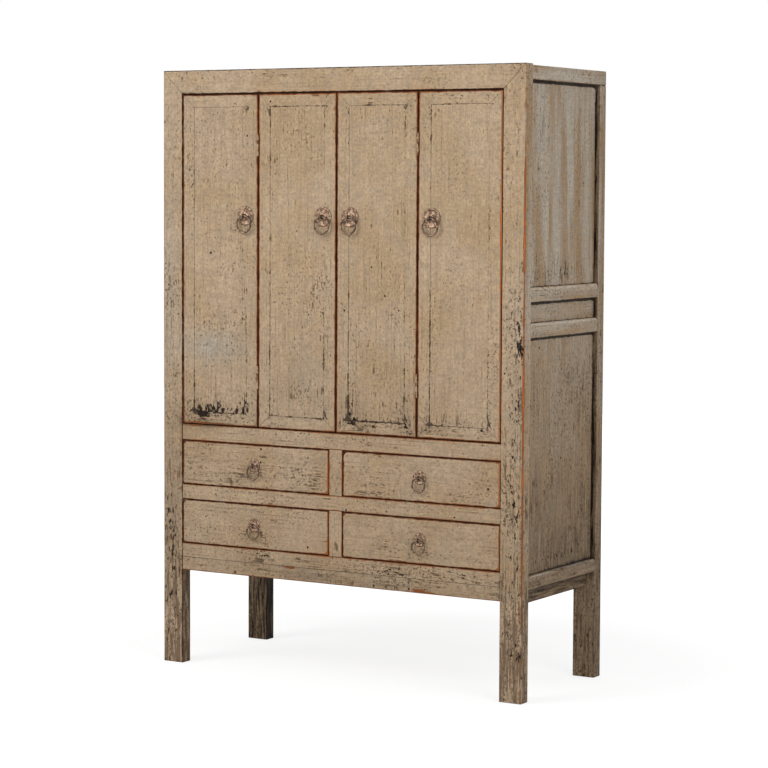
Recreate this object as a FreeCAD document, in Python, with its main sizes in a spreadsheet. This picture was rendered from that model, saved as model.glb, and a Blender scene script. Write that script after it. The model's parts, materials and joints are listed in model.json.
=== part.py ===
import FreeCAD
import Part
import Sketcher
import os
import re

# Tall cabinet with two folding pairs of doors over four drawers.
# The frame is mortised and tenoned, panels float in grooves, the outer doors turn on
# wooden pivots of their own stiles, and each inner door folds on two butt hinges.
# Millimetres. +Z is up and the front looks along -Y. The origin is on the floor, under
# the middle of the whole outline, ring pulls included.

# Driving sizes
SIZES = {
    # Front frame, from the floor up
    "cabinet_height": 1780,
    "cabinet_width": 1226,
    "cabinet_depth": 496,
    "post_width": 70,
    "post_depth": 40,
    "post_edge_radius": 4,
    "top_rail_height": 70,
    "leg_clearance": 284,
    "apron_height": 40,
    "apron_thickness": 24,
    "bottom_rail_height": 42,
    "drawer_opening": 134,
    "drawer_rail_height": 44,
    "sill_height": 48,
    "divider_width": 46,
    # Side and back frames
    "side_top_drop": 4,
    "side_rail_thickness": 26,
    "side_rail_height": 42,
    "side_bottom_rail_height": 38,
    "side_rail_rise": 30,
    "side_lower_panel": 667,
    "side_middle_panel": 58,
    "panel_board": 10,
    "panel_lip": 2,
    "panel_groove": 7,
    "panel_room": 1,
    "back_panel_recess": 10,
    # Joints of the frame
    "tenon_length": 22,
    "tenon_thickness": 10,
    "tenon_shoulder": 9,
    "divider_stub": 10,
    "divider_stub_width": 16,
    "post_stub_length": 18,
    "post_stub_width": 14,
    "joint_clearance": 0.15,
    # Boards and strips inside
    "top_board": 14,
    "top_rabbet": 8,
    "ledger_width": 18,
    "ledger_height": 22,
    "shelf_board": 18,
    "floor_board": 16,
    "bottom_board": 12,
    "bearer_height": 63,
    "bearer_width": 22,
    "bearer_gap": 3,
    "runner_thickness": 20,
    "runner_reach": 24,
    "guide_height": 24,
    "stop_height": 10,
    "stop_room": 0.5,
    "stop_setback": 50,
    # Doors
    "door_gap": 2.5,
    "door_thickness": 24,
    "door_stile": 40,
    "door_rail": 37,
    "door_panel_setback": 0.8,
    "door_panel_reveal": 0.5,
    "door_panel_face": 8,
    "door_tongue_thickness": 6,
    "door_tongue": 8,
    "pivot_inset": 14,
    "pivot_depth": 8,
    "pivot_radius": 5,
    "pivot_length": 16,
    "pivot_clearance": 0.08,
    "pivot_end_room": 0.3,
    # Fold hinges
    "hinge_height": 62,
    "hinge_inset": 148,
    "knuckle_length": 20,
    "knuckle_gap": 0.4,
    "knuckle_radius": 3,
    "barrel_standoff": 3.4,
    "leaf_thickness": 1,
    "leaf_depth": 19,
    "leaf_setback": 0.3,
    "pin_radius": 1.5,
    "pin_clearance": 0.05,
    "pin_head_radius": 2.6,
    "pin_head_height": 2.5,
    # Drawers
    "drawer_gap": 1.8,
    "drawer_front": 22,
    "drawer_corner_radius": 4,
    "drawer_lap": 10,
    "drawer_side": 12,
    "drawer_headroom": 20,
    "drawer_back_room": 46,
    "drawer_bottom": 8,
    "drawer_bottom_rise": 6,
    "drawer_groove": 4,
    "runner_room": 0.3,
    # Ring pulls
    "door_pull_height": 625,
    "door_pull_offset": 4,
    "drawer_pull_rise": 4,
    "door_plate_radius": 29,
    "door_ring_radius": 24.5,
    "door_ring_wire": 6,
    "drawer_plate_radius": 20,
    "drawer_ring_radius": 20.5,
    "drawer_ring_wire": 5.2,
    "plate_thickness": 1.6,
    "plate_relief": 2.2,
    "plate_rim_width": 3,
    "scallop_radius": 3.2,
    "scallop_bite": 1.3,
    "scallop_count": 14,
    "eye_wire": 3,
    "eye_room": 0.4,
    "shank_radius": 2,
    "tail_length": 13,
    "tail_thickness": 1.6,
}

# Places that follow from the sizes, as formulas in the same words
PLACES = {
    "half_width": "cabinet_width / 2",
    "opening_half": "half_width - post_width",
    "plate_height": "plate_thickness + plate_relief",
    "door_eye_hole": "door_ring_wire / 2 + eye_room",
    "drawer_eye_hole": "drawer_ring_wire / 2 + eye_room",
    "door_eye_standoff": "plate_height + door_eye_hole + eye_wire + joint_clearance",
    "drawer_eye_standoff": "plate_height + drawer_eye_hole + eye_wire + joint_clearance",
    "pull_projection": "door_eye_standoff + door_eye_hole + eye_wire",
    "front": "(pull_projection - cabinet_depth) / 2",
    "back": "front + cabinet_depth",
    "front_post_back": "front + post_depth",
    "back_post_front": "back - post_depth",
    "apron_top": "leg_clearance + apron_height",
    "bottom_rail_top": "apron_top + bottom_rail_height",
    "lower_drawer_top": "bottom_rail_top + drawer_opening",
    "drawer_rail_top": "lower_drawer_top + drawer_rail_height",
    "upper_drawer_top": "drawer_rail_top + drawer_opening",
    "sill_top": "upper_drawer_top + sill_height",
    "door_head": "cabinet_height - top_rail_height",
    "side_top": "cabinet_height - side_top_drop",
    "side_top_under": "side_top - side_rail_height",
    "side_bottom": "leg_clearance + side_rail_rise",
    "side_bottom_top": "side_bottom + side_bottom_rail_height",
    "lower_mid_under": "side_bottom_top + side_lower_panel",
    "lower_mid_top": "lower_mid_under + side_rail_height",
    "upper_mid_under": "lower_mid_top + side_middle_panel",
    "upper_mid_top": "upper_mid_under + side_rail_height",
    "side_inner": "half_width - side_rail_thickness",
    "panel_inner": "side_inner + panel_lip",
    "panel_outer": "panel_inner + panel_board",
    "panel_tongue": "panel_groove - panel_room",
    "back_panel_outer": "back - back_panel_recess",
    "back_panel_inner": "back_panel_outer - panel_board",
    "top_board_under": "side_top - top_board",
    "top_board_half": "side_inner + top_rabbet - joint_clearance",
    "top_board_back": "back_post_front + top_rabbet - joint_clearance",
    "bottom_board_top": "bottom_rail_top - runner_thickness",
    "bottom_board_under": "bottom_board_top - bottom_board",
    "bearer_outer": "side_inner - bearer_gap",
    "divider_half": "divider_width / 2",
    "door_width": "(2 * opening_half - 5 * door_gap) / 4",
    "door_low": "sill_top + door_gap",
    "door_high": "door_head - door_gap",
    "door_height": "door_high - door_low",
    "tongue_front": "front + door_panel_setback + door_panel_face",
    "tongue_back": "tongue_front + door_tongue_thickness",
    "fold_x": "opening_half - 1.5 * door_gap - door_width",
    "barrel_y": "front - barrel_standoff",
    "leaf_front": "barrel_y + knuckle_radius + leaf_setback",
    "pull_level": "sill_top + door_pull_height",
    "drawer_end": "back_post_front - drawer_back_room",
}

doc = FreeCAD.newDocument("Cabinet")
sheet = doc.addObject("Spreadsheet::Sheet", "Sizes")
for row, (alias, value) in enumerate(SIZES.items(), 1):
    sheet.set(f"A{row}", alias)
    sheet.set(f"B{row}", str(value))
    sheet.setAlias(f"B{row}", alias)
doc.recompute()

X_AXIS = FreeCAD.Vector(1, 0, 0)
Y_AXIS = FreeCAD.Vector(0, 1, 0)
Z_AXIS = FreeCAD.Vector(0, 0, 1)

pieces = []


def expression(words):
    """Turn a formula in words into one that reads the sheet."""

    def swap(match):
        word = match.group(0)
        if word in PLACES:
            return "(" + expression(PLACES[word]) + ")"
        return "Sizes." + word

    return re.sub(r"[a-z_]+", swap, words)


def bind_place(item, x, y, z):
    """Tie an object's position to three formulas."""
    for axis, words in (("x", x), ("y", y), ("z", z)):
        item.setExpression(f".Placement.Base.{axis}", expression(words))


def board(name, x, y, z):
    """A rectangular piece between two formulas on each axis."""
    box = doc.addObject("Part::Box", name)
    for side, (low, high) in (("Length", x), ("Width", y), ("Height", z)):
        box.setExpression(side, expression(f"({high}) - ({low})"))
    bind_place(box, x[0], y[0], z[0])
    return box


def rod(name, radius, length, start, direction):
    """A round bar from a start point along an axis."""
    cylinder = doc.addObject("Part::Cylinder", name)
    cylinder.setExpression("Radius", expression(radius))
    cylinder.setExpression("Height", expression(length))
    cylinder.Placement.Rotation = FreeCAD.Rotation(Z_AXIS, direction)
    bind_place(cylinder, *start)
    return cylinder


def hoop(name, radius, wire, centre, axis):
    """A round wire bent to a closed ring about an axis."""
    torus = doc.addObject("Part::Torus", name)
    torus.setExpression("Radius1", expression(radius))
    torus.setExpression("Radius2", expression(f"({wire}) / 2"))
    torus.Placement.Rotation = FreeCAD.Rotation(Z_AXIS, axis)
    bind_place(torus, *centre)
    return torus


def mitred_bar(name, length, start_cut, end_cut, width, thickness, corner, along, inward):
    """A bar whose outer edge runs its whole length and whose inner edge is cut back."""
    wedge = doc.addObject("Part::Wedge", name)
    limits = {
        "Xmin": "0",
        "Xmax": length,
        "X2min": start_cut,
        "X2max": f"({length}) - ({end_cut})",
        "Ymin": "0",
        "Ymax": width,
        "Zmin": "0",
        "Zmax": thickness,
        "Z2min": "0",
        "Z2max": thickness,
    }
    for limit, words in limits.items():
        wedge.setExpression(limit, expression(words))
    wedge.Placement.Rotation = FreeCAD.Rotation(along, inward, along.cross(inward), "XYZ")
    bind_place(wedge, *corner)
    return wedge


def fuse(name, items):
    """Several overlapping shapes as one solid."""
    joined = doc.addObject("Part::MultiFuse", name)
    joined.Shapes = items
    return joined


def cut(name, base, tools):
    """A piece with one or more shapes taken out of it."""
    result = doc.addObject("Part::Cut", name)
    result.Base = base
    result.Tool = tools[0] if len(tools) == 1 else fuse(name + "_tools", tools)
    return result


def rounded(name, base, radius, wanted):
    """A piece with its wanted edges rounded."""
    doc.recompute()
    size = float(sheet.get(radius))
    fillet = doc.addObject("Part::Fillet", name)
    fillet.Base = base
    fillet.Edges = [
        (number, size, size)
        for number, edge in enumerate(base.Shape.Edges, 1)
        if wanted(edge)
    ]
    return fillet


def piece(item):
    """Keep an object as one named piece of the cabinet."""
    pieces.append(item)
    return item


def group(name, items):
    """Keep several separate solids together under one name."""
    bundle = doc.addObject("Part::Compound", name)
    bundle.Links = items
    return piece(bundle)


def sheet_value(words):
    """The number that a formula in words comes to now."""
    return float(sheet.evalExpression(expression(words)))


def sided(side, low, high):
    """Limits along X on the right (1) or mirrored to the left (-1)."""
    if side > 0:
        return low, high
    return f"-({high})", f"-({low})"


def middle(limits, size):
    """Limits of a given size about the middle of other limits."""
    low, high = limits
    centre = f"(({low}) + ({high})) / 2"
    return f"{centre} - ({size}) / 2", f"{centre} + ({size}) / 2"


def grown(limits, room):
    """Limits moved apart by some room at each end."""
    low, high = limits
    return f"({low}) - ({room})", f"({high}) + ({room})"


SIDES = (("left", -1), ("right", 1))
FRONT_DEPTH = ("front", "front_post_back")
BACK_DEPTH = ("back_post_front", "back")
OPENING = ("-(opening_half)", "opening_half")
BETWEEN_POSTS = ("front_post_back", "back_post_front")

post_tools = {(side, end): [] for _, side in SIDES for end in ("front", "back")}
mitre_tools = []


# Rails between the posts, with a tenon at each end
def cross_rail(name, end, depth, height):
    """A rail along X between two posts of the front or the back frame."""
    tenon_y = middle(depth, "tenon_thickness")
    tenon_z = grown(height, "-tenon_shoulder")
    body = board(name + "_bar", OPENING, depth, height)
    tenon_x = grown(OPENING, "tenon_length")
    tenons = board(name + "_tenons", tenon_x, tenon_y, tenon_z)
    for label, side in SIDES:
        hole_x = sided(side, "opening_half - 1", "opening_half + tenon_length + joint_clearance")
        hole_y = grown(tenon_y, "joint_clearance")
        hole_z = grown(tenon_z, "joint_clearance")
        hole = board(f"{name}_{label}_mortise", hole_x, hole_y, hole_z)
        post_tools[side, end].append(hole)
    return fuse(name + "_blank", [body, tenons])


def divider_mortise(name, z):
    """The hole in a drawer rail for the stub of a divider."""
    stub_x = ("-(divider_stub_width / 2)", "divider_stub_width / 2")
    stub_y = middle(FRONT_DEPTH, "tenon_thickness")
    return board(name, grown(stub_x, "joint_clearance"), grown(stub_y, "joint_clearance"), z)


SILL = ("upper_drawer_top", "sill_top")
DRAWER_RAIL = ("lower_drawer_top", "drawer_rail_top")
BOTTOM_RAIL = ("apron_top", "bottom_rail_top")
PIVOT_X = "opening_half - door_gap - pivot_inset"
PIVOT_Y = "front + pivot_depth"
PIVOT_REACH = "pivot_length - door_gap + pivot_end_room"


def pivot_holes(name, low):
    """The two sockets that an outer door's pivots turn in."""
    holes = []
    for label, side in SIDES:
        place = (f"{side} * ({PIVOT_X})", PIVOT_Y, low)
        radius = "pivot_radius + pivot_clearance"
        holes.append(rod(f"{name}_{label}_socket", radius, PIVOT_REACH, place, Z_AXIS))
    return holes


STUB_DEPTH = "(divider_stub + joint_clearance)"
sill = cross_rail("door_sill_rail", "front", FRONT_DEPTH, SILL)
sill_tools = pivot_holes("sill", f"sill_top - ({PIVOT_REACH})")
under_sill = ("upper_drawer_top - 1", f"upper_drawer_top + {STUB_DEPTH}")
sill_tools.append(divider_mortise("sill_mortise", under_sill))
piece(cut("door_sill_rail", sill, sill_tools))

middle_rail = cross_rail("drawer_middle_rail", "front", FRONT_DEPTH, DRAWER_RAIL)
over_middle = (f"drawer_rail_top - {STUB_DEPTH}", "drawer_rail_top + 1")
under_middle = ("lower_drawer_top - 1", f"lower_drawer_top + {STUB_DEPTH}")
middle_tools = [
    divider_mortise("middle_rail_mortise_top", over_middle),
    divider_mortise("middle_rail_mortise_under", under_middle),
]
piece(cut("drawer_middle_rail", middle_rail, middle_tools))

bottom_rail = cross_rail("front_bottom_rail", "front", FRONT_DEPTH, BOTTOM_RAIL)
over_bottom = (f"bottom_rail_top - {STUB_DEPTH}", "bottom_rail_top + 1")
bottom_tools = [divider_mortise("bottom_rail_mortise", over_bottom)]
piece(cut("front_bottom_rail", bottom_rail, bottom_tools))

apron_depth = ("front", "front + apron_thickness")
apron = piece(cross_rail("front_apron", "front", apron_depth, ("leg_clearance", "apron_top")))
apron.Label = "front_apron"

# Uprights between the drawers
DRAWER_ROWS = {
    "upper": ("drawer_rail_top", "upper_drawer_top"),
    "lower": ("bottom_rail_top", "lower_drawer_top"),
}
dividers = []
for label, z in DRAWER_ROWS.items():
    divider_x = ("-(divider_half)", "divider_half")
    stub_x = ("-(divider_stub_width / 2)", "divider_stub_width / 2")
    stub_y = middle(FRONT_DEPTH, "tenon_thickness")
    body = board(f"{label}_divider_bar", divider_x, FRONT_DEPTH, z)
    stub = board(f"{label}_divider_stub", stub_x, stub_y, grown(z, "divider_stub"))
    dividers.append(fuse(f"{label}_divider", [body, stub]))
group("drawer_dividers", dividers)

# Side frames: four rails and three panels on each side
SIDE_RAILS = {
    "top": ("side_top_under", "side_top"),
    "upper": ("upper_mid_under", "upper_mid_top"),
    "lower": ("lower_mid_under", "lower_mid_top"),
    "bottom": ("side_bottom", "side_bottom_top"),
}
SIDE_PANELS = {
    "upper": ("upper_mid_top", "side_top_under"),
    "middle": ("lower_mid_top", "upper_mid_under"),
    "lower": ("side_bottom_top", "lower_mid_under"),
}
PANEL_LENGTH = grown(BETWEEN_POSTS, "panel_tongue")
for label, side in SIDES:
    panel_x = sided(side, "panel_inner", "panel_outer")
    groove_x = grown(panel_x, "joint_clearance")
    groove_y = grown(BETWEEN_POSTS, "panel_groove")
    panels = []
    grooves = {}
    for level, z in SIDE_PANELS.items():
        panel = board(f"{label}_{level}_side_panel", panel_x, PANEL_LENGTH, grown(z, "panel_tongue"))
        groove = board(f"{label}_{level}_side_groove", groove_x, groove_y, grown(z, "panel_groove"))
        panels.append(panel)
        grooves[level] = groove
        post_tools[side, "front"].append(groove)
        post_tools[side, "back"].append(groove)
    group(f"{label}_side_panels", panels)

    rails = []
    rail_x = sided(side, "side_inner", "half_width")
    tenon_x = middle(rail_x, "tenon_thickness")
    for level, z in SIDE_RAILS.items():
        name = f"{label}_{level}_side_rail"
        over_post = level == "top"
        rail_y = ("front_post_back", "back") if over_post else BETWEEN_POSTS
        tenon_y = ("front_post_back - tenon_length", "back_post_front")
        if not over_post:
            tenon_y = grown(BETWEEN_POSTS, "tenon_length")
        tenon_z = grown(z, "-tenon_shoulder")
        body = board(name + "_bar", rail_x, rail_y, z)
        tenons = board(name + "_tenons", tenon_x, tenon_y, tenon_z)
        hole_x = grown(tenon_x, "joint_clearance")
        hole_z = grown(tenon_z, "joint_clearance")
        front_y = ("front_post_back - tenon_length - joint_clearance", "front_post_back + 1")
        back_y = ("back_post_front - 1", "back_post_front + tenon_length + joint_clearance")
        front_mortise = board(name + "_front_mortise", hole_x, front_y, hole_z)
        post_tools[side, "front"].append(front_mortise)
        if over_post:
            mitre_tools.append(front_mortise)
        else:
            post_tools[side, "back"].append(board(name + "_back_mortise", hole_x, back_y, hole_z))
        tools = {
            "top": [],
            "upper": [grooves["upper"], grooves["middle"]],
            "lower": [grooves["middle"], grooves["lower"]],
            "bottom": [grooves["lower"]],
        }[level]
        if over_post:
            # The top rail is grooved, rabbeted for the top boards and holed for the post's stub
            groove_run = grown(BETWEEN_POSTS, "panel_groove")
            groove_z = ("side_top_under - 1", "side_top_under + panel_groove")
            tools.append(board(name + "_groove", groove_x, groove_run, groove_z))
            rabbet_x = sided(side, "side_inner - 1", "side_inner + top_rabbet")
            rabbet_y = ("front_post_back - 1", "back_post_front + top_rabbet")
            tools.append(board(name + "_rabbet", rabbet_x, rabbet_y, ("top_board_under", "side_top + 1")))
            stub_x = middle(rail_x, "tenon_thickness")
            stub_y = middle(BACK_DEPTH, "post_stub_width")
            stub_hole = board(
                name + "_stub_hole",
                grown(stub_x, "joint_clearance"),
                grown(stub_y, "joint_clearance"),
                ("side_top_under - 1", "side_top_under + post_stub_length + joint_clearance"),
            )
            tools.append(stub_hole)
        rails.append(cut(name, fuse(name + "_blank", [body, tenons]), tools))
    group(f"{label}_side_rails", rails)

# Back frame: four rails and three panels
BACK_RAILS = {"sill": SILL, "drawer": DRAWER_RAIL, "bottom": BOTTOM_RAIL}
BACK_PANELS = {
    "upper": ("sill_top", "side_top_under"),
    "middle": ("drawer_rail_top", "upper_drawer_top"),
    "lower": ("bottom_rail_top", "lower_drawer_top"),
}
panel_y = ("back_panel_inner", "back_panel_outer")
groove_y = grown(panel_y, "joint_clearance")
back_panels = []
back_grooves = {}
for level, z in BACK_PANELS.items():
    panel_x = grown(OPENING, "panel_tongue")
    groove_x = grown(OPENING, "panel_groove")
    panel = board(f"{level}_back_panel", panel_x, panel_y, grown(z, "panel_tongue"))
    groove = board(f"{level}_back_groove", groove_x, groove_y, grown(z, "panel_groove"))
    back_panels.append(panel)
    back_grooves[level] = groove
    post_tools[-1, "back"].append(groove)
    post_tools[1, "back"].append(groove)
group("back_panels", back_panels)

top_x = ("-(side_inner)", "side_inner")
back_top = board("back_top_bar", top_x, BACK_DEPTH, ("side_top_under", "side_top"))
back_rabbet = board(
    "back_top_rabbet",
    grown(top_x, "1"),
    ("back_post_front - 1", "back_post_front + top_rabbet"),
    ("top_board_under", "side_top + 1"),
)
back_rails = [cut("back_top_rail", back_top, [back_rabbet, back_grooves["upper"]])]
RAIL_GROOVES = {"sill": ("upper", "middle"), "drawer": ("middle", "lower"), "bottom": ("lower",)}
for level, z in BACK_RAILS.items():
    blank = cross_rail(f"back_{level}_rail", "back", BACK_DEPTH, z)
    tools = [back_grooves[name] for name in RAIL_GROOVES[level]]
    back_rails.append(cut(f"back_{level}_rail", blank, tools))
group("back_rails", back_rails)

# Posts: the front ones are mitred to the top rail, the back ones carry the side rails
for label, side in SIDES:
    inward = X_AXIS * -side
    corner_y = "front" if side < 0 else "front_post_back"
    corner = (f"{side} * (half_width)", corner_y, "0")
    bar = mitred_bar(
        f"front_{label}_post_bar",
        "cabinet_height",
        "0",
        "top_rail_height",
        "post_width",
        "post_depth",
        corner,
        Z_AXIS,
        inward,
    )
    outer = side * float(sheet.get("cabinet_width")) / 2

    def outer_front_edge(edge):
        ends = [vertex.Point for vertex in edge.Vertexes]
        upright = abs(ends[0].z - ends[1].z) > 0.5 * edge.Length
        at_side = all(abs(end.x - outer) < 0.01 for end in ends)
        in_front = all(end.y < bar.Shape.BoundBox.Center.y for end in ends)
        return upright and at_side and in_front

    shaped = rounded(f"front_{label}_post_round", bar, "post_edge_radius", outer_front_edge)
    piece(cut(f"front_{label}_post", shaped, post_tools[side, "front"]))

    post_x = sided(side, "opening_half", "half_width")
    bar = board(f"back_{label}_post_bar", post_x, BACK_DEPTH, ("0", "side_top_under"))
    rail_x = sided(side, "side_inner", "half_width")
    stub = board(
        f"back_{label}_post_stub",
        middle(rail_x, "tenon_thickness"),
        middle(BACK_DEPTH, "post_stub_width"),
        ("side_top_under - 1", "side_top_under + post_stub_length"),
    )
    grooved = cut(f"back_{label}_post_grooved", bar, post_tools[side, "back"])
    piece(fuse(f"back_{label}_post", [grooved, stub]))

top_bar = mitred_bar(
    "front_top_rail_bar",
    "cabinet_width",
    "post_width",
    "post_width",
    "top_rail_height",
    "post_depth",
    ("-(half_width)", "front", "cabinet_height"),
    X_AXIS,
    Z_AXIS * -1,
)
piece(cut("front_top_rail", top_bar, pivot_holes("top_rail", "door_head") + mitre_tools))

# Top boards, shelf, floor and what carries them
BOARD_COUNT = 3
top_boards = []
for number in range(BOARD_COUNT):
    depth = "(top_board_back - front_post_back)"
    low = f"front_post_back + {depth} * {number} / {BOARD_COUNT}"
    high = f"front_post_back + {depth} * {number + 1} / {BOARD_COUNT}"
    limits_x = ("-(top_board_half)", "top_board_half")
    limits_z = ("top_board_under", "side_top")
    top_boards.append(board(f"top_board_{number + 1}", limits_x, (low, high), limits_z))
group("top_boards", top_boards)

ledger_y = ("front_post_back", "front_post_back + ledger_width")
ledger_z = ("top_board_under - ledger_height", "top_board_under")
ledgers = [board("top_ledger", OPENING, ledger_y, ledger_z)]
for label, side in SIDES:
    ledger_x = sided(side, "side_inner - ledger_width", "side_inner")
    ledger_z = ("upper_mid_top - ledger_height", "upper_mid_top")
    ledgers.append(board(f"{label}_shelf_ledger", ledger_x, BETWEEN_POSTS, ledger_z))
group("ledger_strips", ledgers)

INSIDE = ("-(side_inner)", "side_inner")
piece(board("shelf", INSIDE, BETWEEN_POSTS, ("upper_mid_top", "upper_mid_top + shelf_board")))
piece(board("compartment_floor", INSIDE, BETWEEN_POSTS, ("sill_top - floor_board", "sill_top")))
bottom_x = ("-(bearer_outer)", "bearer_outer")
piece(board("bottom_board", bottom_x, BETWEEN_POSTS, ("bottom_board_under", "bottom_board_top")))
bearers = []
for label, side in SIDES:
    bearer_x = sided(side, "bearer_outer - bearer_width", "bearer_outer")
    bearer_z = ("bottom_board_under - bearer_height", "bottom_board_under")
    bearers.append(board(f"{label}_side_bearer", bearer_x, BETWEEN_POSTS, bearer_z))
group("side_bearers", bearers)

# Drawer runners, the guides on them and the strips over the upper drawers
RUNNER_LEVELS = {
    "lower": ("bottom_board_top", "bottom_rail_top"),
    "upper": ("drawer_rail_top - runner_thickness", "drawer_rail_top"),
    "over": ("upper_drawer_top", "sill_top - floor_board"),
}
RUNNER_PLACES = {
    "middle": (
        ("-(divider_half + runner_reach)", "divider_half + runner_reach"),
        ("-(divider_half)", "divider_half"),
    ),
}
for label, side in SIDES:
    runner_x = sided(side, "opening_half - runner_reach", "bearer_outer")
    RUNNER_PLACES[label] = (runner_x, sided(side, "opening_half", "bearer_outer"))
runners = []
for level, z in RUNNER_LEVELS.items():
    for place, (runner_x, guide_x) in RUNNER_PLACES.items():
        runners.append(board(f"{place}_{level}_runner", runner_x, BETWEEN_POSTS, z))
        if level != "over":
            guide_z = (z[1], f"{z[1]} + guide_height")
            runners.append(board(f"{place}_{level}_guide", guide_x, BETWEEN_POSTS, guide_z))
group("drawer_runners", runners)

# Strips that the doors close against
stop_x = ("-(opening_half - stop_setback)", "opening_half - stop_setback")
stop_y = ("front + door_thickness + stop_room", "front_post_back")
stops = [
    board("upper_door_stop", stop_x, stop_y, ("door_head - stop_height", "door_head")),
    board("lower_door_stop", stop_x, stop_y, ("sill_top", "sill_top + stop_height")),
]
group("door_stops", stops)


# Ring pulls: a scalloped plate and a staple that stay put, and a ring that swings
def sketch_on(body, plane, name):
    """An empty sketch on one of a body's own origin planes."""
    sketch = body.newObject("Sketcher::SketchObject", name)
    sketch.AttachmentSupport = [(item, "") for item in body.Origin.OriginFeatures if item.Role == plane]
    sketch.MapMode = "FlatFace"
    return sketch


def outline(sketch, corners):
    """A closed outline whose corners are tied to formulas."""
    points = [FreeCAD.Vector(sheet_value(x), sheet_value(y), 0) for x, y in corners]
    count = len(points)
    for number in range(count):
        sketch.addGeometry(Part.LineSegment(points[number], points[(number + 1) % count]), False)
    for number in range(count):
        sketch.addConstraint(Sketcher.Constraint("Coincident", number, 2, (number + 1) % count, 1))
    for number, (x, y) in enumerate(corners):
        for kind, words, start in (("DistanceX", x, points[number].x), ("DistanceY", y, points[number].y)):
            index = sketch.addConstraint(Sketcher.Constraint(kind, -1, 1, number, 1, start))
            sketch.setExpression(f"Constraints[{index}]", expression(words))


def pull_plate(name, radius, x, z):
    """A round stamped plate with a raised rim and boss and a scalloped edge."""
    body = doc.addObject("PartDesign::Body", name)
    profile = sketch_on(body, "XZ_Plane", name + "_profile")
    hole = "shank_radius + joint_clearance"
    inner_rim = f"({radius}) - plate_rim_width"
    corners = (
        (hole, "0"),
        (radius, "0"),
        (radius, "plate_thickness"),
        (inner_rim, "plate_height - plate_relief / 3"),
        (f"{inner_rim} - plate_rim_width", "plate_thickness"),
        (f"({radius}) * 0.45", "plate_thickness"),
        (f"({radius}) * 0.3", "plate_height"),
        (hole, "plate_height"),
    )
    outline(profile, corners)
    spun = body.newObject("PartDesign::Revolution", name + "_disc")
    spun.Profile = profile
    spun.ReferenceAxis = (profile, ["V_Axis"])
    spun.Angle = 360
    doc.recompute()
    before = body.Shape.Volume

    rim = sketch_on(body, "XY_Plane", name + "_bite")
    reach = f"({radius}) + scallop_radius - scallop_bite"
    centre = FreeCAD.Vector(sheet_value(reach), 0, 0)
    rim.addGeometry(Part.Circle(centre, Z_AXIS, sheet_value("scallop_radius")), False)
    across = rim.addConstraint(Sketcher.Constraint("DistanceX", -1, 1, 0, 3, centre.x))
    rim.setExpression(f"Constraints[{across}]", expression(reach))
    rim.addConstraint(Sketcher.Constraint("PointOnObject", 0, 3, -1))
    size = rim.addConstraint(Sketcher.Constraint("Radius", 0, sheet_value("scallop_radius")))
    rim.setExpression(f"Constraints[{size}]", expression("scallop_radius"))
    bite = body.newObject("PartDesign::Pocket", name + "_notch")
    bite.Profile = rim
    bite.Type = "ThroughAll"
    bite.Reversed = True
    doc.recompute()
    scallops = body.newObject("PartDesign::PolarPattern", name + "_scallops")
    scallops.Originals = [bite]
    scallops.Axis = ([item for item in body.Origin.OriginFeatures if item.Role == "Z_Axis"][0], [""])
    scallops.Angle = 360
    scallops.setExpression("Occurrences", expression("scallop_count"))
    body.Tip = scallops
    doc.recompute()
    if body.Shape.Volume >= before - 1:
        raise RuntimeError(name + " has no scallops")
    body.Placement.Rotation = FreeCAD.Rotation(Z_AXIS, Y_AXIS * -1)
    bind_place(body, x, "front", z)
    return body


def ring_pull(owner, kind, x, z, behind):
    """The plate and staple of one pull as a group, and its ring."""
    standoff = f"{kind}_eye_standoff"
    eye_y = f"front - {standoff}"
    plate = pull_plate(f"{owner}_pull_plate", f"{kind}_plate_radius", x, z)
    eye = hoop(f"{owner}_pull_eye", f"{kind}_eye_hole + eye_wire / 2", "eye_wire", (x, eye_y, z), X_AXIS)
    shank_start = f"{eye_y} + {kind}_eye_hole + eye_wire / 2"
    shank_length = f"({behind}) + tail_thickness - ({shank_start})"
    shank = rod(f"{owner}_pull_shank", "shank_radius", shank_length, (x, shank_start, z), Y_AXIS)
    tail_x = (f"({x}) - shank_radius", f"({x}) + shank_radius")
    tail_z = (f"({z}) - tail_length", f"({z}) + tail_length")
    tails = board(f"{owner}_pull_tails", tail_x, (behind, f"({behind}) + tail_thickness"), tail_z)
    staple = fuse(f"{owner}_pull_staple", [eye, shank, tails])
    group(f"{owner}_pull_mount", [plate, staple])
    ring_centre = (x, eye_y, f"({z}) - {kind}_ring_radius")
    piece(hoop(f"{owner}_pull_ring", f"{kind}_ring_radius", f"{kind}_ring_wire", ring_centre, Y_AXIS))


def shank_hole(owner, x, z, length):
    """The hole that a pull's staple passes through."""
    return rod(f"{owner}_pull_hole", "shank_radius + joint_clearance", length, (x, "front - 1", z), Y_AXIS)


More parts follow.
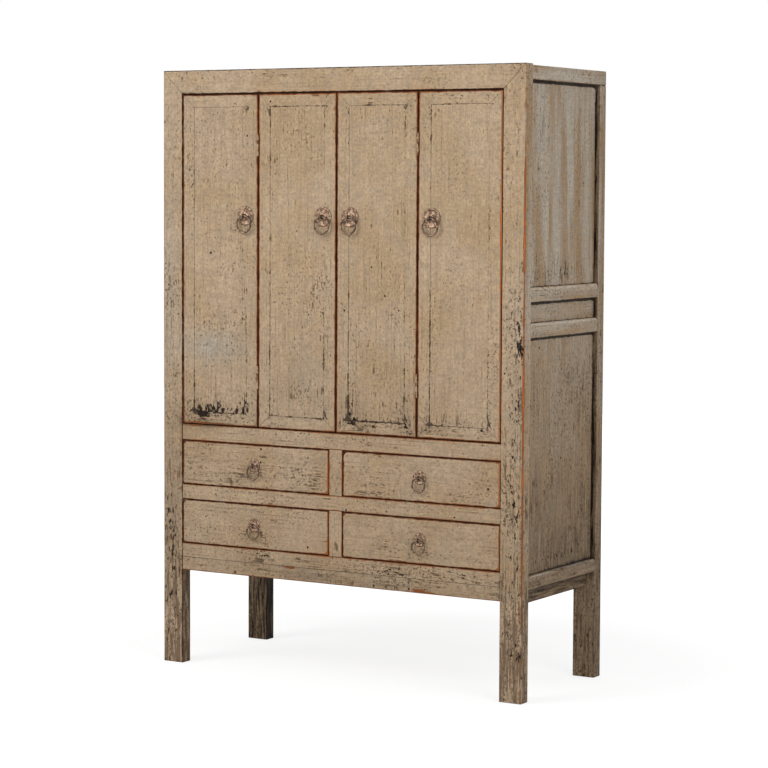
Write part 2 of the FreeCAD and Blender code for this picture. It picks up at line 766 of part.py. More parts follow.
# Doors: mitred frames round flush panels
DOORS = (
    ("outer_left_door", 0, "high"),
    ("inner_left_door", 1, "high"),
    ("inner_right_door", 2, "low"),
    ("outer_right_door", 3, "low"),
)
for owner, number, free_edge in DOORS:
    low_x = f"-(opening_half) + door_gap + {number} * (door_width + door_gap)"
    high_x = f"{low_x} + door_width"
    door_back = "front + door_thickness"
    tongue_x = (f"{low_x} + door_stile - door_tongue", f"{high_x} - door_stile + door_tongue")
    tongue_z = ("door_low + door_rail - door_tongue", "door_high - door_rail + door_tongue")
    tongue_y = ("tongue_front", "tongue_back")
    groove = board(
        f"{owner}_groove",
        grown(tongue_x, "panel_room / 2"),
        grown(tongue_y, "joint_clearance"),
        grown(tongue_z, "panel_room / 2"),
    )
    stile = ("door_height", "door_rail", "door_rail", "door_stile", "door_thickness")
    rail = ("door_width", "door_stile", "door_stile", "door_rail", "door_thickness")
    left = mitred_bar(f"{owner}_left_bar", *stile, (low_x, "front", "door_low"), Z_AXIS, X_AXIS)
    right = mitred_bar(f"{owner}_right_bar", *stile, (high_x, door_back, "door_low"), Z_AXIS, X_AXIS * -1)
    under = mitred_bar(f"{owner}_bottom_bar", *rail, (low_x, door_back, "door_low"), X_AXIS, Z_AXIS)
    over = mitred_bar(f"{owner}_top_bar", *rail, (low_x, "front", "door_high"), X_AXIS, Z_AXIS * -1)
    rail_tools = [groove]
    side = {0: -1, 3: 1}.get(number, 0)
    pivot = None
    if side:
        reach = "pivot_length - door_gap"
        pivot_x = f"{side} * ({PIVOT_X})"
        place = (pivot_x, PIVOT_Y, f"door_low - door_gap - ({reach})")
        length = f"door_height + 2 * (door_gap + {reach})"
        pivot = rod(f"{owner}_pivots", "pivot_radius", length, place, Z_AXIS)
        room = rod(f"{owner}_pivot_room", "pivot_radius + joint_clearance", length, place, Z_AXIS)
        rail_tools.append(room)
    frame = []
    for label, bar, bar_side in (("left", left, -1), ("right", right, 1)):
        grooved = cut(f"{owner}_{label}_stile_grooved", bar, [groove])
        frame.append(fuse(f"{owner}_{label}_stile", [grooved, pivot]) if bar_side == side else grooved)
    frame.append(cut(f"{owner}_bottom_rail", under, rail_tools))
    frame.append(cut(f"{owner}_top_rail", over, rail_tools))
    group(f"{owner}_frame", frame)

    field_x = (f"{low_x} + door_stile + door_panel_reveal", f"{high_x} - door_stile - door_panel_reveal")
    field_z = ("door_low + door_rail + door_panel_reveal", "door_high - door_rail - door_panel_reveal")
    field = board(f"{owner}_field", field_x, ("front + door_panel_setback", "tongue_back"), field_z)
    tongue = board(f"{owner}_tongue", tongue_x, tongue_y, tongue_z)
    pull_x = f"{high_x} - door_stile - door_pull_offset"
    if free_edge == "low":
        pull_x = f"{low_x} + door_stile + door_pull_offset"
    hole = shank_hole(owner, pull_x, "pull_level", "door_thickness + 2")
    piece(cut(f"{owner}_panel", fuse(f"{owner}_panel_blank", [field, tongue]), [hole]))
    ring_pull(owner, "door", pull_x, "pull_level", "tongue_back")

# Fold hinges between the doors of each pair
HINGE_LEVELS = {"lower": "door_low + hinge_inset", "upper": "door_high - hinge_inset"}
for label, side in SIDES:
    axis_x = f"{side} * (fold_x)"
    outer_leaves = []
    inner_leaves = []
    for level, centre in HINGE_LEVELS.items():
        name = f"{label}_{level}_hinge"
        low = f"{centre} - hinge_height / 2"
        high = f"{centre} + hinge_height / 2"
        bore = rod(
            name + "_bore",
            "pin_radius + pin_clearance",
            "hinge_height + 2",
            (axis_x, "barrel_y", f"{low} - 1"),
            Z_AXIS,
        )
        plate_y = ("leaf_front", "leaf_front + leaf_depth")
        tab_y = ("barrel_y", "leaf_front + 1")
        middle_low = f"{low} + knuckle_length + knuckle_gap"
        middle_high = f"{high} - knuckle_length - knuckle_gap"
        knuckles = {
            "outer": ((low, f"{low} + knuckle_length"), (f"{high} - knuckle_length", high)),
            "inner": ((middle_low, middle_high),),
        }
        for leaf, spans in knuckles.items():
            towards = side if leaf == "outer" else -side
            reach = ("door_gap / 2 - leaf_thickness", "door_gap / 2")
            near, far = sided(towards, *reach)
            leaf_x = (f"{axis_x} + {near}", f"{axis_x} + {far}")
            solids = [board(f"{name}_{leaf}_plate", leaf_x, plate_y, (low, high))]
            for count, span in enumerate(spans):
                solids.append(board(f"{name}_{leaf}_tab_{count}", leaf_x, tab_y, span))
                length = f"({span[1]}) - ({span[0]})"
                start = (axis_x, "barrel_y", span[0])
                solids.append(rod(f"{name}_{leaf}_knuckle_{count}", "knuckle_radius", length, start, Z_AXIS))
            done = cut(f"{name}_{leaf}_leaf", fuse(f"{name}_{leaf}_blank", solids), [bore])
            (outer_leaves if leaf == "outer" else inner_leaves).append(done)
        pin = [rod(name + "_pin_rod", "pin_radius", "hinge_height", (axis_x, "barrel_y", low), Z_AXIS)]
        for end, start_z in (("foot", f"{low} - pin_head_height"), ("head", high)):
            start = (axis_x, "barrel_y", start_z)
            head = rod(f"{name}_pin_{end}", "pin_head_radius", "pin_head_height", start, Z_AXIS)
            pin.append(head)
        outer_leaves.append(fuse(name + "_pin", pin))
    group(f"{label}_fold_hinge_outer_leaves", outer_leaves)
    group(f"{label}_fold_hinge_inner_leaves", inner_leaves)

# Drawers: a lapped front, two sides, a back and a floor
for row, (low_z, high_z) in DRAWER_ROWS.items():
    for label, side in SIDES:
        owner = f"{row}_{label}_drawer"
        low_x, high_x = grown(sided(side, "divider_half", "opening_half"), "-drawer_gap")
        front_y = ("front", "front + drawer_front")
        front_z = grown((low_z, high_z), "-drawer_gap")
        lap_y = "front + drawer_lap"
        side_z = (f"{low_z} + runner_room", f"{high_z} - drawer_headroom")
        floor_low = f"{side_z[0]} + drawer_bottom_rise"
        floor_z = (floor_low, f"{floor_low} + drawer_bottom")
        left_x = (low_x, f"{low_x} + drawer_side")
        right_x = (f"{high_x} - drawer_side", high_x)
        back_x = (left_x[1], right_x[0])
        floor_x = grown(back_x, "drawer_groove - joint_clearance")
        floor_y = ("front + drawer_front - drawer_groove + joint_clearance", "drawer_end")
        slot = board(
            f"{owner}_floor_slot",
            grown(floor_x, "joint_clearance"),
            ("front + drawer_front - drawer_groove", "drawer_end + 1"),
            grown(floor_z, "joint_clearance"),
        )
        face = board(f"{owner}_face", (low_x, high_x), front_y, front_z)

        def corner_edge(edge):
            ends = [vertex.Point for vertex in edge.Vertexes]
            return abs(ends[0].y - ends[1].y) > 0.5 * edge.Length

        shaped = rounded(f"{owner}_face_round", face, "drawer_corner_radius", corner_edge)
        laps = []
        sides = []
        for end, limits in (("left", left_x), ("right", right_x)):
            lap_x = grown(limits, "joint_clearance")
            lap_run = (lap_y, "front + drawer_front + 1")
            laps.append(board(f"{owner}_{end}_lap", lap_x, lap_run, grown((low_z, high_z), "1")))
            plank = board(f"{owner}_{end}_plank", limits, (lap_y, "drawer_end"), side_z)
            sides.append(cut(f"{owner}_{end}_side", plank, [slot]))
        pull_x = f"(({low_x}) + ({high_x})) / 2"
        pull_z = f"(({low_z}) + ({high_z})) / 2 + drawer_pull_rise"
        hole = shank_hole(owner, pull_x, pull_z, "drawer_front + 2")
        piece(cut(f"{owner}_front", shaped, laps + [slot, hole]))
        back_y = ("drawer_end - drawer_side", "drawer_end")
        back = board(f"{owner}_back", back_x, back_y, (floor_z[1], side_z[1]))
        floor = board(f"{owner}_floor", floor_x, floor_y, floor_z)
        group(f"{owner}_box", sides + [back, floor])
        ring_pull(owner, "drawer", pull_x, pull_z, "front + drawer_front")

doc.recompute()

# Every object is sound before anything is written
for item in doc.Objects:
    if "Invalid" in item.State or "Error" in item.State:
        raise RuntimeError(f"{item.Name} failed: {item.State}")
for item in pieces:
    if item.Shape.isNull() or not item.Shape.isValid():
        raise RuntimeError(f"{item.Label} has no sound shape")

os.makedirs("parts", exist_ok=True)
for item in pieces:
    item.Shape.exportStep(os.path.join("parts", item.Label + ".step"))
    print(f"{item.Label}: {len(item.Shape.Solids)} solids, {item.Shape.Volume / 1000:.1f} cm3")
print(len(pieces), "pieces")
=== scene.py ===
"""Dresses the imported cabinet: worn khaki paint, aged bare wood, old bronze pulls and painted hinges."""

import json
import math
import random
from dataclasses import dataclass, replace
from functools import partial

import bmesh
import bpy
from mathutils import Color, Matrix, Vector, noise

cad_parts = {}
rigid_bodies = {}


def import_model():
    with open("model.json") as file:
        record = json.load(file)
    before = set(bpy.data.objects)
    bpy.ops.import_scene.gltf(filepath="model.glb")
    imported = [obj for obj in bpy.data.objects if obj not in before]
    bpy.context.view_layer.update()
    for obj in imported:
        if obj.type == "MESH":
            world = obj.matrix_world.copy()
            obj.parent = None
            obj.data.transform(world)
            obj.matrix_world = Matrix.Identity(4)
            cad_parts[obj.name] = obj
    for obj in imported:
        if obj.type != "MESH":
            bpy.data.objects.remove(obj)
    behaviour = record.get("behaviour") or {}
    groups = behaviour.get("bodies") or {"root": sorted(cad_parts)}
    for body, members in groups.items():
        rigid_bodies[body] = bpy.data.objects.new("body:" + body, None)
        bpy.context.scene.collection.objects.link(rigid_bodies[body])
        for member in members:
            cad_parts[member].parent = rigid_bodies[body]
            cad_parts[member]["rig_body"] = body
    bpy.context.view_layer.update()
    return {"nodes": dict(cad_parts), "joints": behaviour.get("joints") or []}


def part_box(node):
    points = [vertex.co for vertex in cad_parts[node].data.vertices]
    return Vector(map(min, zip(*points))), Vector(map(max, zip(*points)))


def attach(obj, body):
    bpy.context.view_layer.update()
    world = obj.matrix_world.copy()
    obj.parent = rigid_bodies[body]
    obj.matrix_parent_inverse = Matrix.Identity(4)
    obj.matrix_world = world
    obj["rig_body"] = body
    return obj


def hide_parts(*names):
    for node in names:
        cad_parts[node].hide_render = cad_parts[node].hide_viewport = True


bl_info = {
    "name": "Worn painted cabinet",
    "version": (1, 0, 0),
    "blender": (4, 5, 0),
    "location": "View3D > Sidebar > Cabinet",
    "description": "Dresses the packed cabinet in worn paint, aged wood, old bronze and brass",
    "category": "Object",
}

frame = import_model()
MM = 0.001
X, Y, Z = range(3)

# How far the side and back panels run into their frames
SIDE_TONGUE = 6.0 * MM
# What the frame gives: the front plane, the opening between the front posts, the side frames
POST_LOW, POST_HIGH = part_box("front_right_post")
BACK_LOW, BACK_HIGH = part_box("back_right_post")
FRONT = POST_LOW.y
FRONT_BACK = POST_HIGH.y
PANEL_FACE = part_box("right_side_panels")[1].x
PANEL_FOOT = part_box("right_side_panels")[0].z + SIDE_TONGUE
OPENING = POST_LOW.x
SIDES = (("left", -1), ("right", 1))
DOORS = ("outer_left_door", "inner_left_door", "inner_right_door", "outer_right_door")
DRAWERS = ("upper_left_drawer", "upper_right_drawer", "lower_left_drawer", "lower_right_drawer")
# Directions, as seen from the front
LEFT, RIGHT = Vector((-1, 0, 0)), Vector((1, 0, 0))
AHEAD, BEHIND = Vector((0, -1, 0)), Vector((0, 1, 0))
DOWN, UP = Vector((0, 0, -1)), Vector((0, 0, 1))
EVERY_WAY = (LEFT, RIGHT, AHEAD, BEHIND, DOWN, UP)
# What the finishes read from each vertex. On boards, rim is where no brush went, darkest in the gaps,
# where it is painted shade as well; dirt and seam carry painted shade besides dirt and cracks, and
# weather carries painted cooler light on the sides and a painted highlight on upper faces besides
# weathering. On bronze, rim is how dark the metal is: patina in the hollows, and painted shade on the
# sides of the rings, the edges and bosses of the plates, and the staples.
MARKS = ("edge", "grimed", "wear", "bare", "weather", "rim", "tone", "seam", "dirt")


def on_front(depth, *rows):
    """Patches on the front: x, z, reach along x and along z in millimetres, and how much."""
    return tuple(
        ((x * MM, FRONT, z * MM), (wide * MM, depth * MM, high * MM), amount)
        for x, z, wide, high, amount in rows
    )


def on_sides(face, depth, *rows):
    """Patches on a face of both sides: y, z, reach along y and along z in millimetres, and how much."""
    return tuple(
        ((sign * face, y * MM, z * MM), (depth * MM, deep * MM, high * MM), amount)
        for y, z, deep, high, amount in rows
        for _, sign in SIDES
    )


# How many millimetres a patch reaches back from the front, on a flat face and round a post's corner
FLAT = 20
CORNER = 30
# Places that have aged more than the rest, and places with painted shade
PATCHES = {
    # Chips down to the black wood
    "chipped": on_front(
        FLAT,
        # Foot of the outer left door
        (-470, 757, 60, 30, 0.62),
        (-400, 775, 60, 22, 0.55),
        (-322, 783, 30, 34, 0.72),
        (-430, 785, 110, 26, 0.22),
        # Foot of the inner left door
        (-45, 800, 14, 50, 0.46),
        (-130, 838, 50, 30, 0.30),
        # Foot of the inner right door
        (52, 800, 20, 50, 0.58),
        (80, 755, 50, 18, 0.58),
        (150, 762, 70, 14, 0.44),
        (225, 785, 16, 40, 0.46),
        (244, 744, 16, 14, 1.10),
        # Foot of the outer right door
        (295, 752, 24, 24, 0.46),
        (370, 765, 90, 16, 0.40),
        (480, 752, 24, 24, 0.42),
        # Higher on the doors
        (-60, 1150, 50, 100, 0.26),
        (-318, 1080, 10, 90, 0.40),
        (-505, 1500, 14, 100, 0.30),
        (190, 1060, 8, 20, 0.60),
        # Knots in the top rail and the right post
        (-241, 1764, 14, 9, 0.56),
        (226, 1756, 30, 9, 0.62),
        (-570, 1762, 30, 12, 0.30),
        (580, 1578, 12, 32, 0.52),
        # Sill and bottom rails
        (-300, 704, 110, 8, 0.42),
        (-120, 706, 50, 8, 0.46),
        (130, 712, 70, 8, 0.42),
        (200, 335, 60, 14, 0.74),
        (420, 344, 90, 13, 0.72),
        (-250, 352, 30, 14, 0.66),
        # Drawer fronts
        (-400, 572, 110, 18, 0.42),
        (-260, 600, 80, 30, 0.26),
        (-110, 585, 60, 30, 0.32),
        (-230, 472, 90, 22, 0.36),
        (-350, 398, 120, 6, 0.42),
        (120, 570, 60, 20, 0.30),
        (190, 400, 40, 26, 0.34),
    )
    + on_front(
        CORNER,
        # Outer edge of the right post
        (591, 1100, 14, 120, 0.80),
        (604, 990, 9, 34, 0.90),
        (590, 830, 20, 150, 0.54),
        (585, 520, 26, 200, 0.48),
        # Left post
        (-585, 450, 26, 180, 0.50),
        (-590, 1130, 30, 120, 0.30),
    )
    + on_sides(
        600 * MM,
        CORNER,
        # Corners of the lower panel, then the foot and the edge of the upper one
        (-157, 830, 30, 90, 0.42),
        (130, 850, 50, 110, 0.40),
        (-150, 520, 30, 70, 0.38),
        (170, 520, 30, 80, 0.36),
        (10, 390, 180, 35, 0.42),
        (0, 1205, 150, 28, 0.60),
        (-100, 1600, 40, 90, 0.26),
        (0, 1150, 200, 10, 0.30),
    ),
    # Paint rubbed through to its red-brown ground
    "rubbed": on_front(
        FLAT,
        (-165, 321, 50, 12, 1.00),
        (275, 296, 60, 12, 0.76),
        (225, 367, 30, 6, 0.92),
        (-420, 760, 120, 40, 0.40),
        (-578, 480, 50, 220, 0.58),
        (585, 120, 40, 120, 0.58),
    ),
    # Paint that weather and old polish have turned chalky
    "chalky": on_front(
        FLAT,
        (-428, 962, 110, 44, 1.00),
        (-600, 1150, 40, 280, 0.50),
        (-100, 900, 50, 120, 0.25),
        (590, 900, 30, 300, 0.25),
        (-80, 305, 60, 14, 0.40),
    ),
    # Paint that is darker: brown with dirt, and painted shade in places
    "dirty_and_shaded": on_front(
        FLAT,
        # Painted shade over the upper left, where less light falls
        (-450, 1600, 350, 260, 0.05),
        (-135, 860, 110, 90, 0.10),
        (-420, 760, 120, 40, 0.14),
        (-285, 765, 30, 50, 0.14),
        (-480, 727, 100, 8, 0.66),
        (80, 780, 60, 60, 0.14),
        (230, 770, 50, 50, 0.16),
        (300, 748, 50, 20, 0.16),
        (-200, 330, 300, 40, 0.08),
        (-120, 303, 100, 20, 0.20),
        (190, 296, 200, 20, 0.24),
    )
    + on_front(
        CORNER,
        (-578, 520, 50, 240, 0.22),
        (585, 420, 50, 160, 0.08),
    )
    + on_sides(
        PANEL_FACE,
        9,
        # Painted shade with dirt along each back post, in the recess where it stands out from the side
        # panels
        (BACK_LOW.y / MM, 1400, 1.2, 550, 0.76),
        (BACK_LOW.y / MM, 650, 1.2, 220, 0.72),
        (BACK_LOW.y / MM, 420, 1.2, 60, 0.64),
    )
    # On its outer face, darker toward its back edge, and behind the lowest side rails a painted shadow
    # line with dirt
    + on_sides(BACK_HIGH.x, 4, (BACK_HIGH.y / MM, 1050, 60, 1500, 0.18))
    + on_sides(PANEL_FACE, 12, (120, PANEL_FOOT / MM, 140, 6, 0.70)),
}


def linear(code):
    """An sRGB hex colour as linear red, green and blue."""
    channels = [int(code[place : place + 2], 16) / 255 for place in (1, 3, 5)]
    return tuple(c / 12.92 if c <= 0.04045 else ((c + 0.055) / 1.055) ** 2.4 for c in channels)


def length(name, description, default):
    """A size that a user may change."""
    return bpy.props.FloatProperty(
        name=name, description=description, default=default, min=0.0, unit="LENGTH", precision=4
    )


def tint(name, description, code):
    """A colour that a user may change."""
    return bpy.props.FloatVectorProperty(
        name=name,
        description=description,
        default=linear(code),
        size=3,
        min=0.0,
        max=1.0,
        subtype="COLOR",
    )


class CabinetSizes(bpy.types.PropertyGroup):
    """Sizes of what the frame leaves open"""

    arris: length("Arris", "Radius to which the edges of the boards are worn", 1.4 * MM)
    post_arris: length("Post arris", "Radius of the front posts' outer edge", 4.0 * MM)
    rail_arris: length("Rail arris", "Radius of the side rails' upper edge", 9.0 * MM)
    drawer_corner: length("Drawer corner", "Radius at the corners of a drawer front", 4.0 * MM)
    nick: length("Nick", "Depth of the dents along worn edges", 0.6 * MM)
    wear_cell: length("Wear cell", "Size of the grid that carries the wear", 24.0 * MM)
    wear_reach: length("Wear reach", "How far from an edge the paint is rubbed", 12.0 * MM)
    panel_tongue: length("Panel tongue", "How far a door panel runs into its frame", 8.5 * MM)
    panel_reveal: length("Panel reveal", "Gap between a door's panel and its frame", 0.2 * MM)
    panel_arris: length("Panel arris", "Radius where a door's panel and frame meet", 0.5 * MM)
    rail_under_arris: length("Rail under arris", "Radius of the side rails' lower edge", 4.0 * MM)
    side_tongue: length("Side tongue", "How far a side or back panel runs into its frame", SIDE_TONGUE)
    drawer_board: length("Drawer board", "Thickness of a drawer's sides and back", 12.0 * MM)
    drawer_floor: length("Drawer floor", "Thickness of a drawer's floor", 8.0 * MM)
    drawer_rise: length("Drawer rise", "Height of a drawer's floor over its sides' lower edge", 6.0 * MM)
    pivot_radius: length("Pivot radius", "Radius of the pivots that an outer door turns on", 5.0 * MM)
    eye_wire: length("Eye wire", "Thickness of the staple that holds a ring", 3.0 * MM)
    shank_radius: length("Shank radius", "Radius of the staple where it goes through the wood", 2.0 * MM)
    plate_sheet: length("Plate sheet", "Thickness of a pull's plate at its edge", 1.6 * MM)
    plate_relief: length("Plate relief", "Height of the boss over a pull's plate", 2.2 * MM)
    scallop: length("Scallop", "Depth of the bites in the edge of a pull's plate", 1.3 * MM)


class CabinetColours(bpy.types.PropertyGroup):
    """Colours of the finishes"""

    paint: tint("Paint", "Khaki paint of the front", "#ac967c")
    paint_worn: tint("Worn paint", "Paint where it has thinned and yellowed", "#a68d6f")
    # The sides' grey is weathering and also painted cooler light
    chalk: tint("Chalked paint", "Paint of the sides, greyed by weather", "#a4998a")
    chalk_tan: tint("Stained chalk", "Brown runs in the weathered paint", "#8f7659")
    ground: tint("Ground", "Red-brown ground under the paint", "#8a5029")
    ground_bright: tint("Bright ground", "Orange ground on the most rubbed edges", "#b9652f")
    grime: tint("Grime", "Grey-brown dirt in hairlines and cracks", "#463a2e")
    # The dirt mark that this colour darkens also carries painted shade
    dirt: tint("Dirt", "Brown dirt low down and in corners", "#3f2d1c")
    chip: tint("Chip", "Black wood where the paint is gone", "#17110d")
    weathered_wood: tint("Weathered wood", "Wood of the legs where the paint has thinned", "#7a6450")
    edge_wood: tint("Stained wood", "Unpainted backs of the doors and panels", "#65472f")
    # Stained wood, darkened further by painted shade in the gaps
    gap_wood_and_shade: tint("Gap wood", "Dark edges inside the gaps", "#2b1408")
    wood: tint("Bare wood", "Unpainted old wood inside", "#8a6a49")
    wood_dark: tint("Dark wood", "Latewood of the bare boards", "#6b4f36")
    bronze: tint("Bronze", "Brown bronze of the pulls", "#7a5f4a")
    bronze_bright: tint("Rubbed bronze", "Bronze where hands have rubbed it", "#ba9a80")
    # Also the colour of the painted shade on the rings' sides, the plates' edges and bosses, and the
    # staples
    bronze_dark: tint("Dark bronze", "Bronze in the recesses", "#20150f")
    brass: tint("Brass", "Hinge brass", "#8a5a36")
    brass_dark: tint("Tarnished brass", "Tarnish on the hinges", "#3f2a1b")
    floor: tint("Floor", "Pale studio floor", "#f4f4f4")


@dataclass(frozen=True)
class Ageing:
    """How one board has aged, and where shade is painted on it; a box here is its lowest and highest
    corners.
    """

    worn: tuple = None  # box whose edges are rubbed to the red-brown ground
    rub: float = 0.96  # how far they are rubbed
    most_worn: tuple = None  # box whose edges are rubbed to the orange ground
    grimed: tuple = None  # box along whose edges dirt has blackened the ground
    shown: tuple = ()  # directions that are painted, the main one first; with none, all are
    wear: float = 0.0  # chips all over
    legs: float = 0.0  # wood bared low down
    seam: tuple = None  # box along whose outline the paint is cracked
    crack: float = 1.0  # how much it is cracked
    pale: float = 0.0  # how far its upper faces are lightened: rubbed pale, with a painted highlight
    shaded: float = None  # height of an edge with painted shadow and dirt under it
    soiled_and_shaded: tuple = ()  # directions that are darker, with dirt and painted shade
    soil_and_shade: float = 0.0  # how much darker they are
    grimy: float = 0.36  # dirt on side faces, low down


@dataclass(frozen=True)
class Board:
    """One board, between its lowest and highest corners, with the axis of its grain."""

    low: Vector
    high: Vector
    grain: int
    age: Ageing = Ageing()
    shape: object = None  # function that moves its points, for a mitre
    rounds: tuple = ()  # (test for edges, radius) for edges that are not as round as the rest
    cuts: tuple = ()  # (axis, level) where its grid needs more vertices
    arris: float = None  # radius of the rest, if not the usual one


# Mesh code

# Heights in metres between which ageing goes from none to full
FOOT = (0.42, 0.20)
SHIN = (0.90, 0.50)
LOW_DOWN = (1.25, 0.30)
HIGH_UP = (1.45, 1.66)
# How far a normal leans that way where such a face begins to count, and where it counts in full
SIDE_FACE, UPPER_FACE, UNDER_FACE, MITRE_FACE = (0.5, 0.9), (0.2, 0.5), (0.2, 0.6), (0.15, 0.35)
# Wear and dirt all over the lower part, and painted shade on under faces
LOW_WEAR, LOW_SOIL, UNDER_SHADE = 0.16, 0.17, 0.8
# Rubbed more than this, an edge is dented too
DENTED_FROM = 0.75
# A patch has faded to nothing at this many times its reach
FADED = 3
# Vertices closer than this are one
SAME_PLACE = 1e-6
# The gap that says how near a box's faces are, and the one that says how near its edges are
FACES, EDGES = 0, 1


def start():
    """An empty mesh with room for what the finishes read from each board."""
    bm = bmesh.new()
    bm.verts.layers.float_vector.new("board")
    for name in MARKS:
        bm.verts.layers.float.new(name)
    return bm


def append(bm, part):
    """Add a part to a piece's mesh."""
    mesh = bpy.data.meshes.new("part")
    part.to_mesh(mesh)
    part.free()
    bm.from_mesh(mesh)
    bpy.data.meshes.remove(mesh)


def fade(value, none, full):
    """How far a value is on its way from none to full, from 0 to 1."""
    return min(1.0, max(0.0, (value - none) / (full - none)))


def nearby(patches, low, high):
    """The patches that reach into a box."""

    def reaches(middle, reach):
        return all(low[a] - FADED * reach[a] < middle[a] < high[a] + FADED * reach[a] for a in range(3))

    return [patch for patch in patches if reaches(*patch[:2])]


def cover(point, patches):
    """How strongly the patches cover a point."""
    total = 0.0
    for middle, reach, amount in patches:
        off = sum(((point[axis] - middle[axis]) / reach[axis]) ** 2 for axis in range(3))
        total += amount * math.exp(-off)
    return total


def closeness(point, box, what):
    """How near a point is to a box's faces or edges: 1 on them, 0 out of reach."""
    gaps = sorted(abs(min(point[axis] - box[0][axis], box[1][axis] - point[axis])) for axis in range(3))
    return max(0.0, 1.0 - gaps[what] / bpy.context.scene.cabinet_sizes.wear_reach)


def opened(low, high, *ways):
    """A box drawn out a metre in these directions, so that its faces there don't count."""
    low, high = low.copy(), high.copy()
    for way in ways:
        for axis in range(3):
            low[axis] += min(0.0, way[axis])
            high[axis] += max(0.0, way[axis])
    return low, high


def mitred(along, across, outer, inner, start_cut, end_cut, low, high):
    """A move that cuts a bar's inner edge back at its ends, for a mitre."""

    def move(point):
        share = (point[across] - outer) / (inner - outer)
        whole = high[along] - low[along]
        left = whole - (start_cut + end_cut) * share
        point[along] = low[along] + start_cut * share + (point[along] - low[along]) * left / whole

    return move


def lying_at(levels):
    """A test for edges that lie at a level on each of these axes."""

    def test(edge):
        return all(
            abs(vert.co[axis] - level) < 0.01 * MM for vert in edge.verts for axis, level in levels.items()
        )

    return test


def sharp(bm, least=0.6):
    """The edges where two faces meet at an angle."""
    return [edge for edge in bm.edges if len(edge.link_faces) == 2 and edge.calc_face_angle(0.0) > least]


def round_over(bm, edges, radius, segments):
    """Round some edges to a radius."""
    if edges and radius > 0:
        bmesh.ops.bevel(
            bm,
            geom=edges,
            offset=radius,
            offset_type="OFFSET",
            segments=segments,
            profile=0.5,
            affect="EDGES",
            material=-1,
            clamp_overlap=True,
        )


def cut(bm, axis, level):
    """Cut a mesh across an axis, so that it has vertices at that level."""
    across = Vector([float(axis == other) for other in range(3)])
    geom = [*bm.verts, *bm.edges, *bm.faces]
    bmesh.ops.bisect_plane(bm, geom=geom, dist=1e-7, plane_co=across * level, plane_no=across)


def block(bm, middle, size):
    """A block about a point, to be worked on."""
    stand = Matrix.Translation(middle) @ Matrix.Diagonal((*size, 1.0))
    bmesh.ops.create_cube(bm, size=1.0, matrix=stand)


def add_board(bm, item, rng):
    """Add a board with worn arrises, on a grid that is fine enough to carry its marks."""
    sizes = bpy.context.scene.cabinet_sizes
    size = item.high - item.low
    part = start()
    block(part, (item.low + item.high) / 2, size)
    margin = sizes.wear_reach
    for axis in range(3):
        # A thin board has no room for a margin along both edges
        if size[axis] < 2.5 * margin:
            continue
        for level in (item.low[axis] + margin, item.high[axis] - margin):
            cut(part, axis, level)
        # What lies between the margins is cut to the size of a cell
        long_edges = [
            edge
            for edge in part.edges
            if abs(edge.verts[0].co[axis] - edge.verts[1].co[axis]) > 1.5 * sizes.wear_cell
        ]
        if long_edges:
            steps = max(1, round((size[axis] - 2 * margin) / sizes.wear_cell) - 1)
            bmesh.ops.subdivide_edges(part, edges=long_edges, cuts=steps, use_grid_fill=True)
    for axis, level in item.cuts:
        cut(part, axis, level)
    if item.shape:
        for vert in part.verts:
            item.shape(vert.co)
    for wanted, radius in item.rounds:
        round_over(part, [edge for edge in sharp(part) if wanted(edge)], radius, 4)
    round_over(part, sharp(part), min(item.arris or sizes.arris, 0.2 * min(size)), 2)
    part.normal_update()
    mark(part, item, rng)
    append(bm, part)


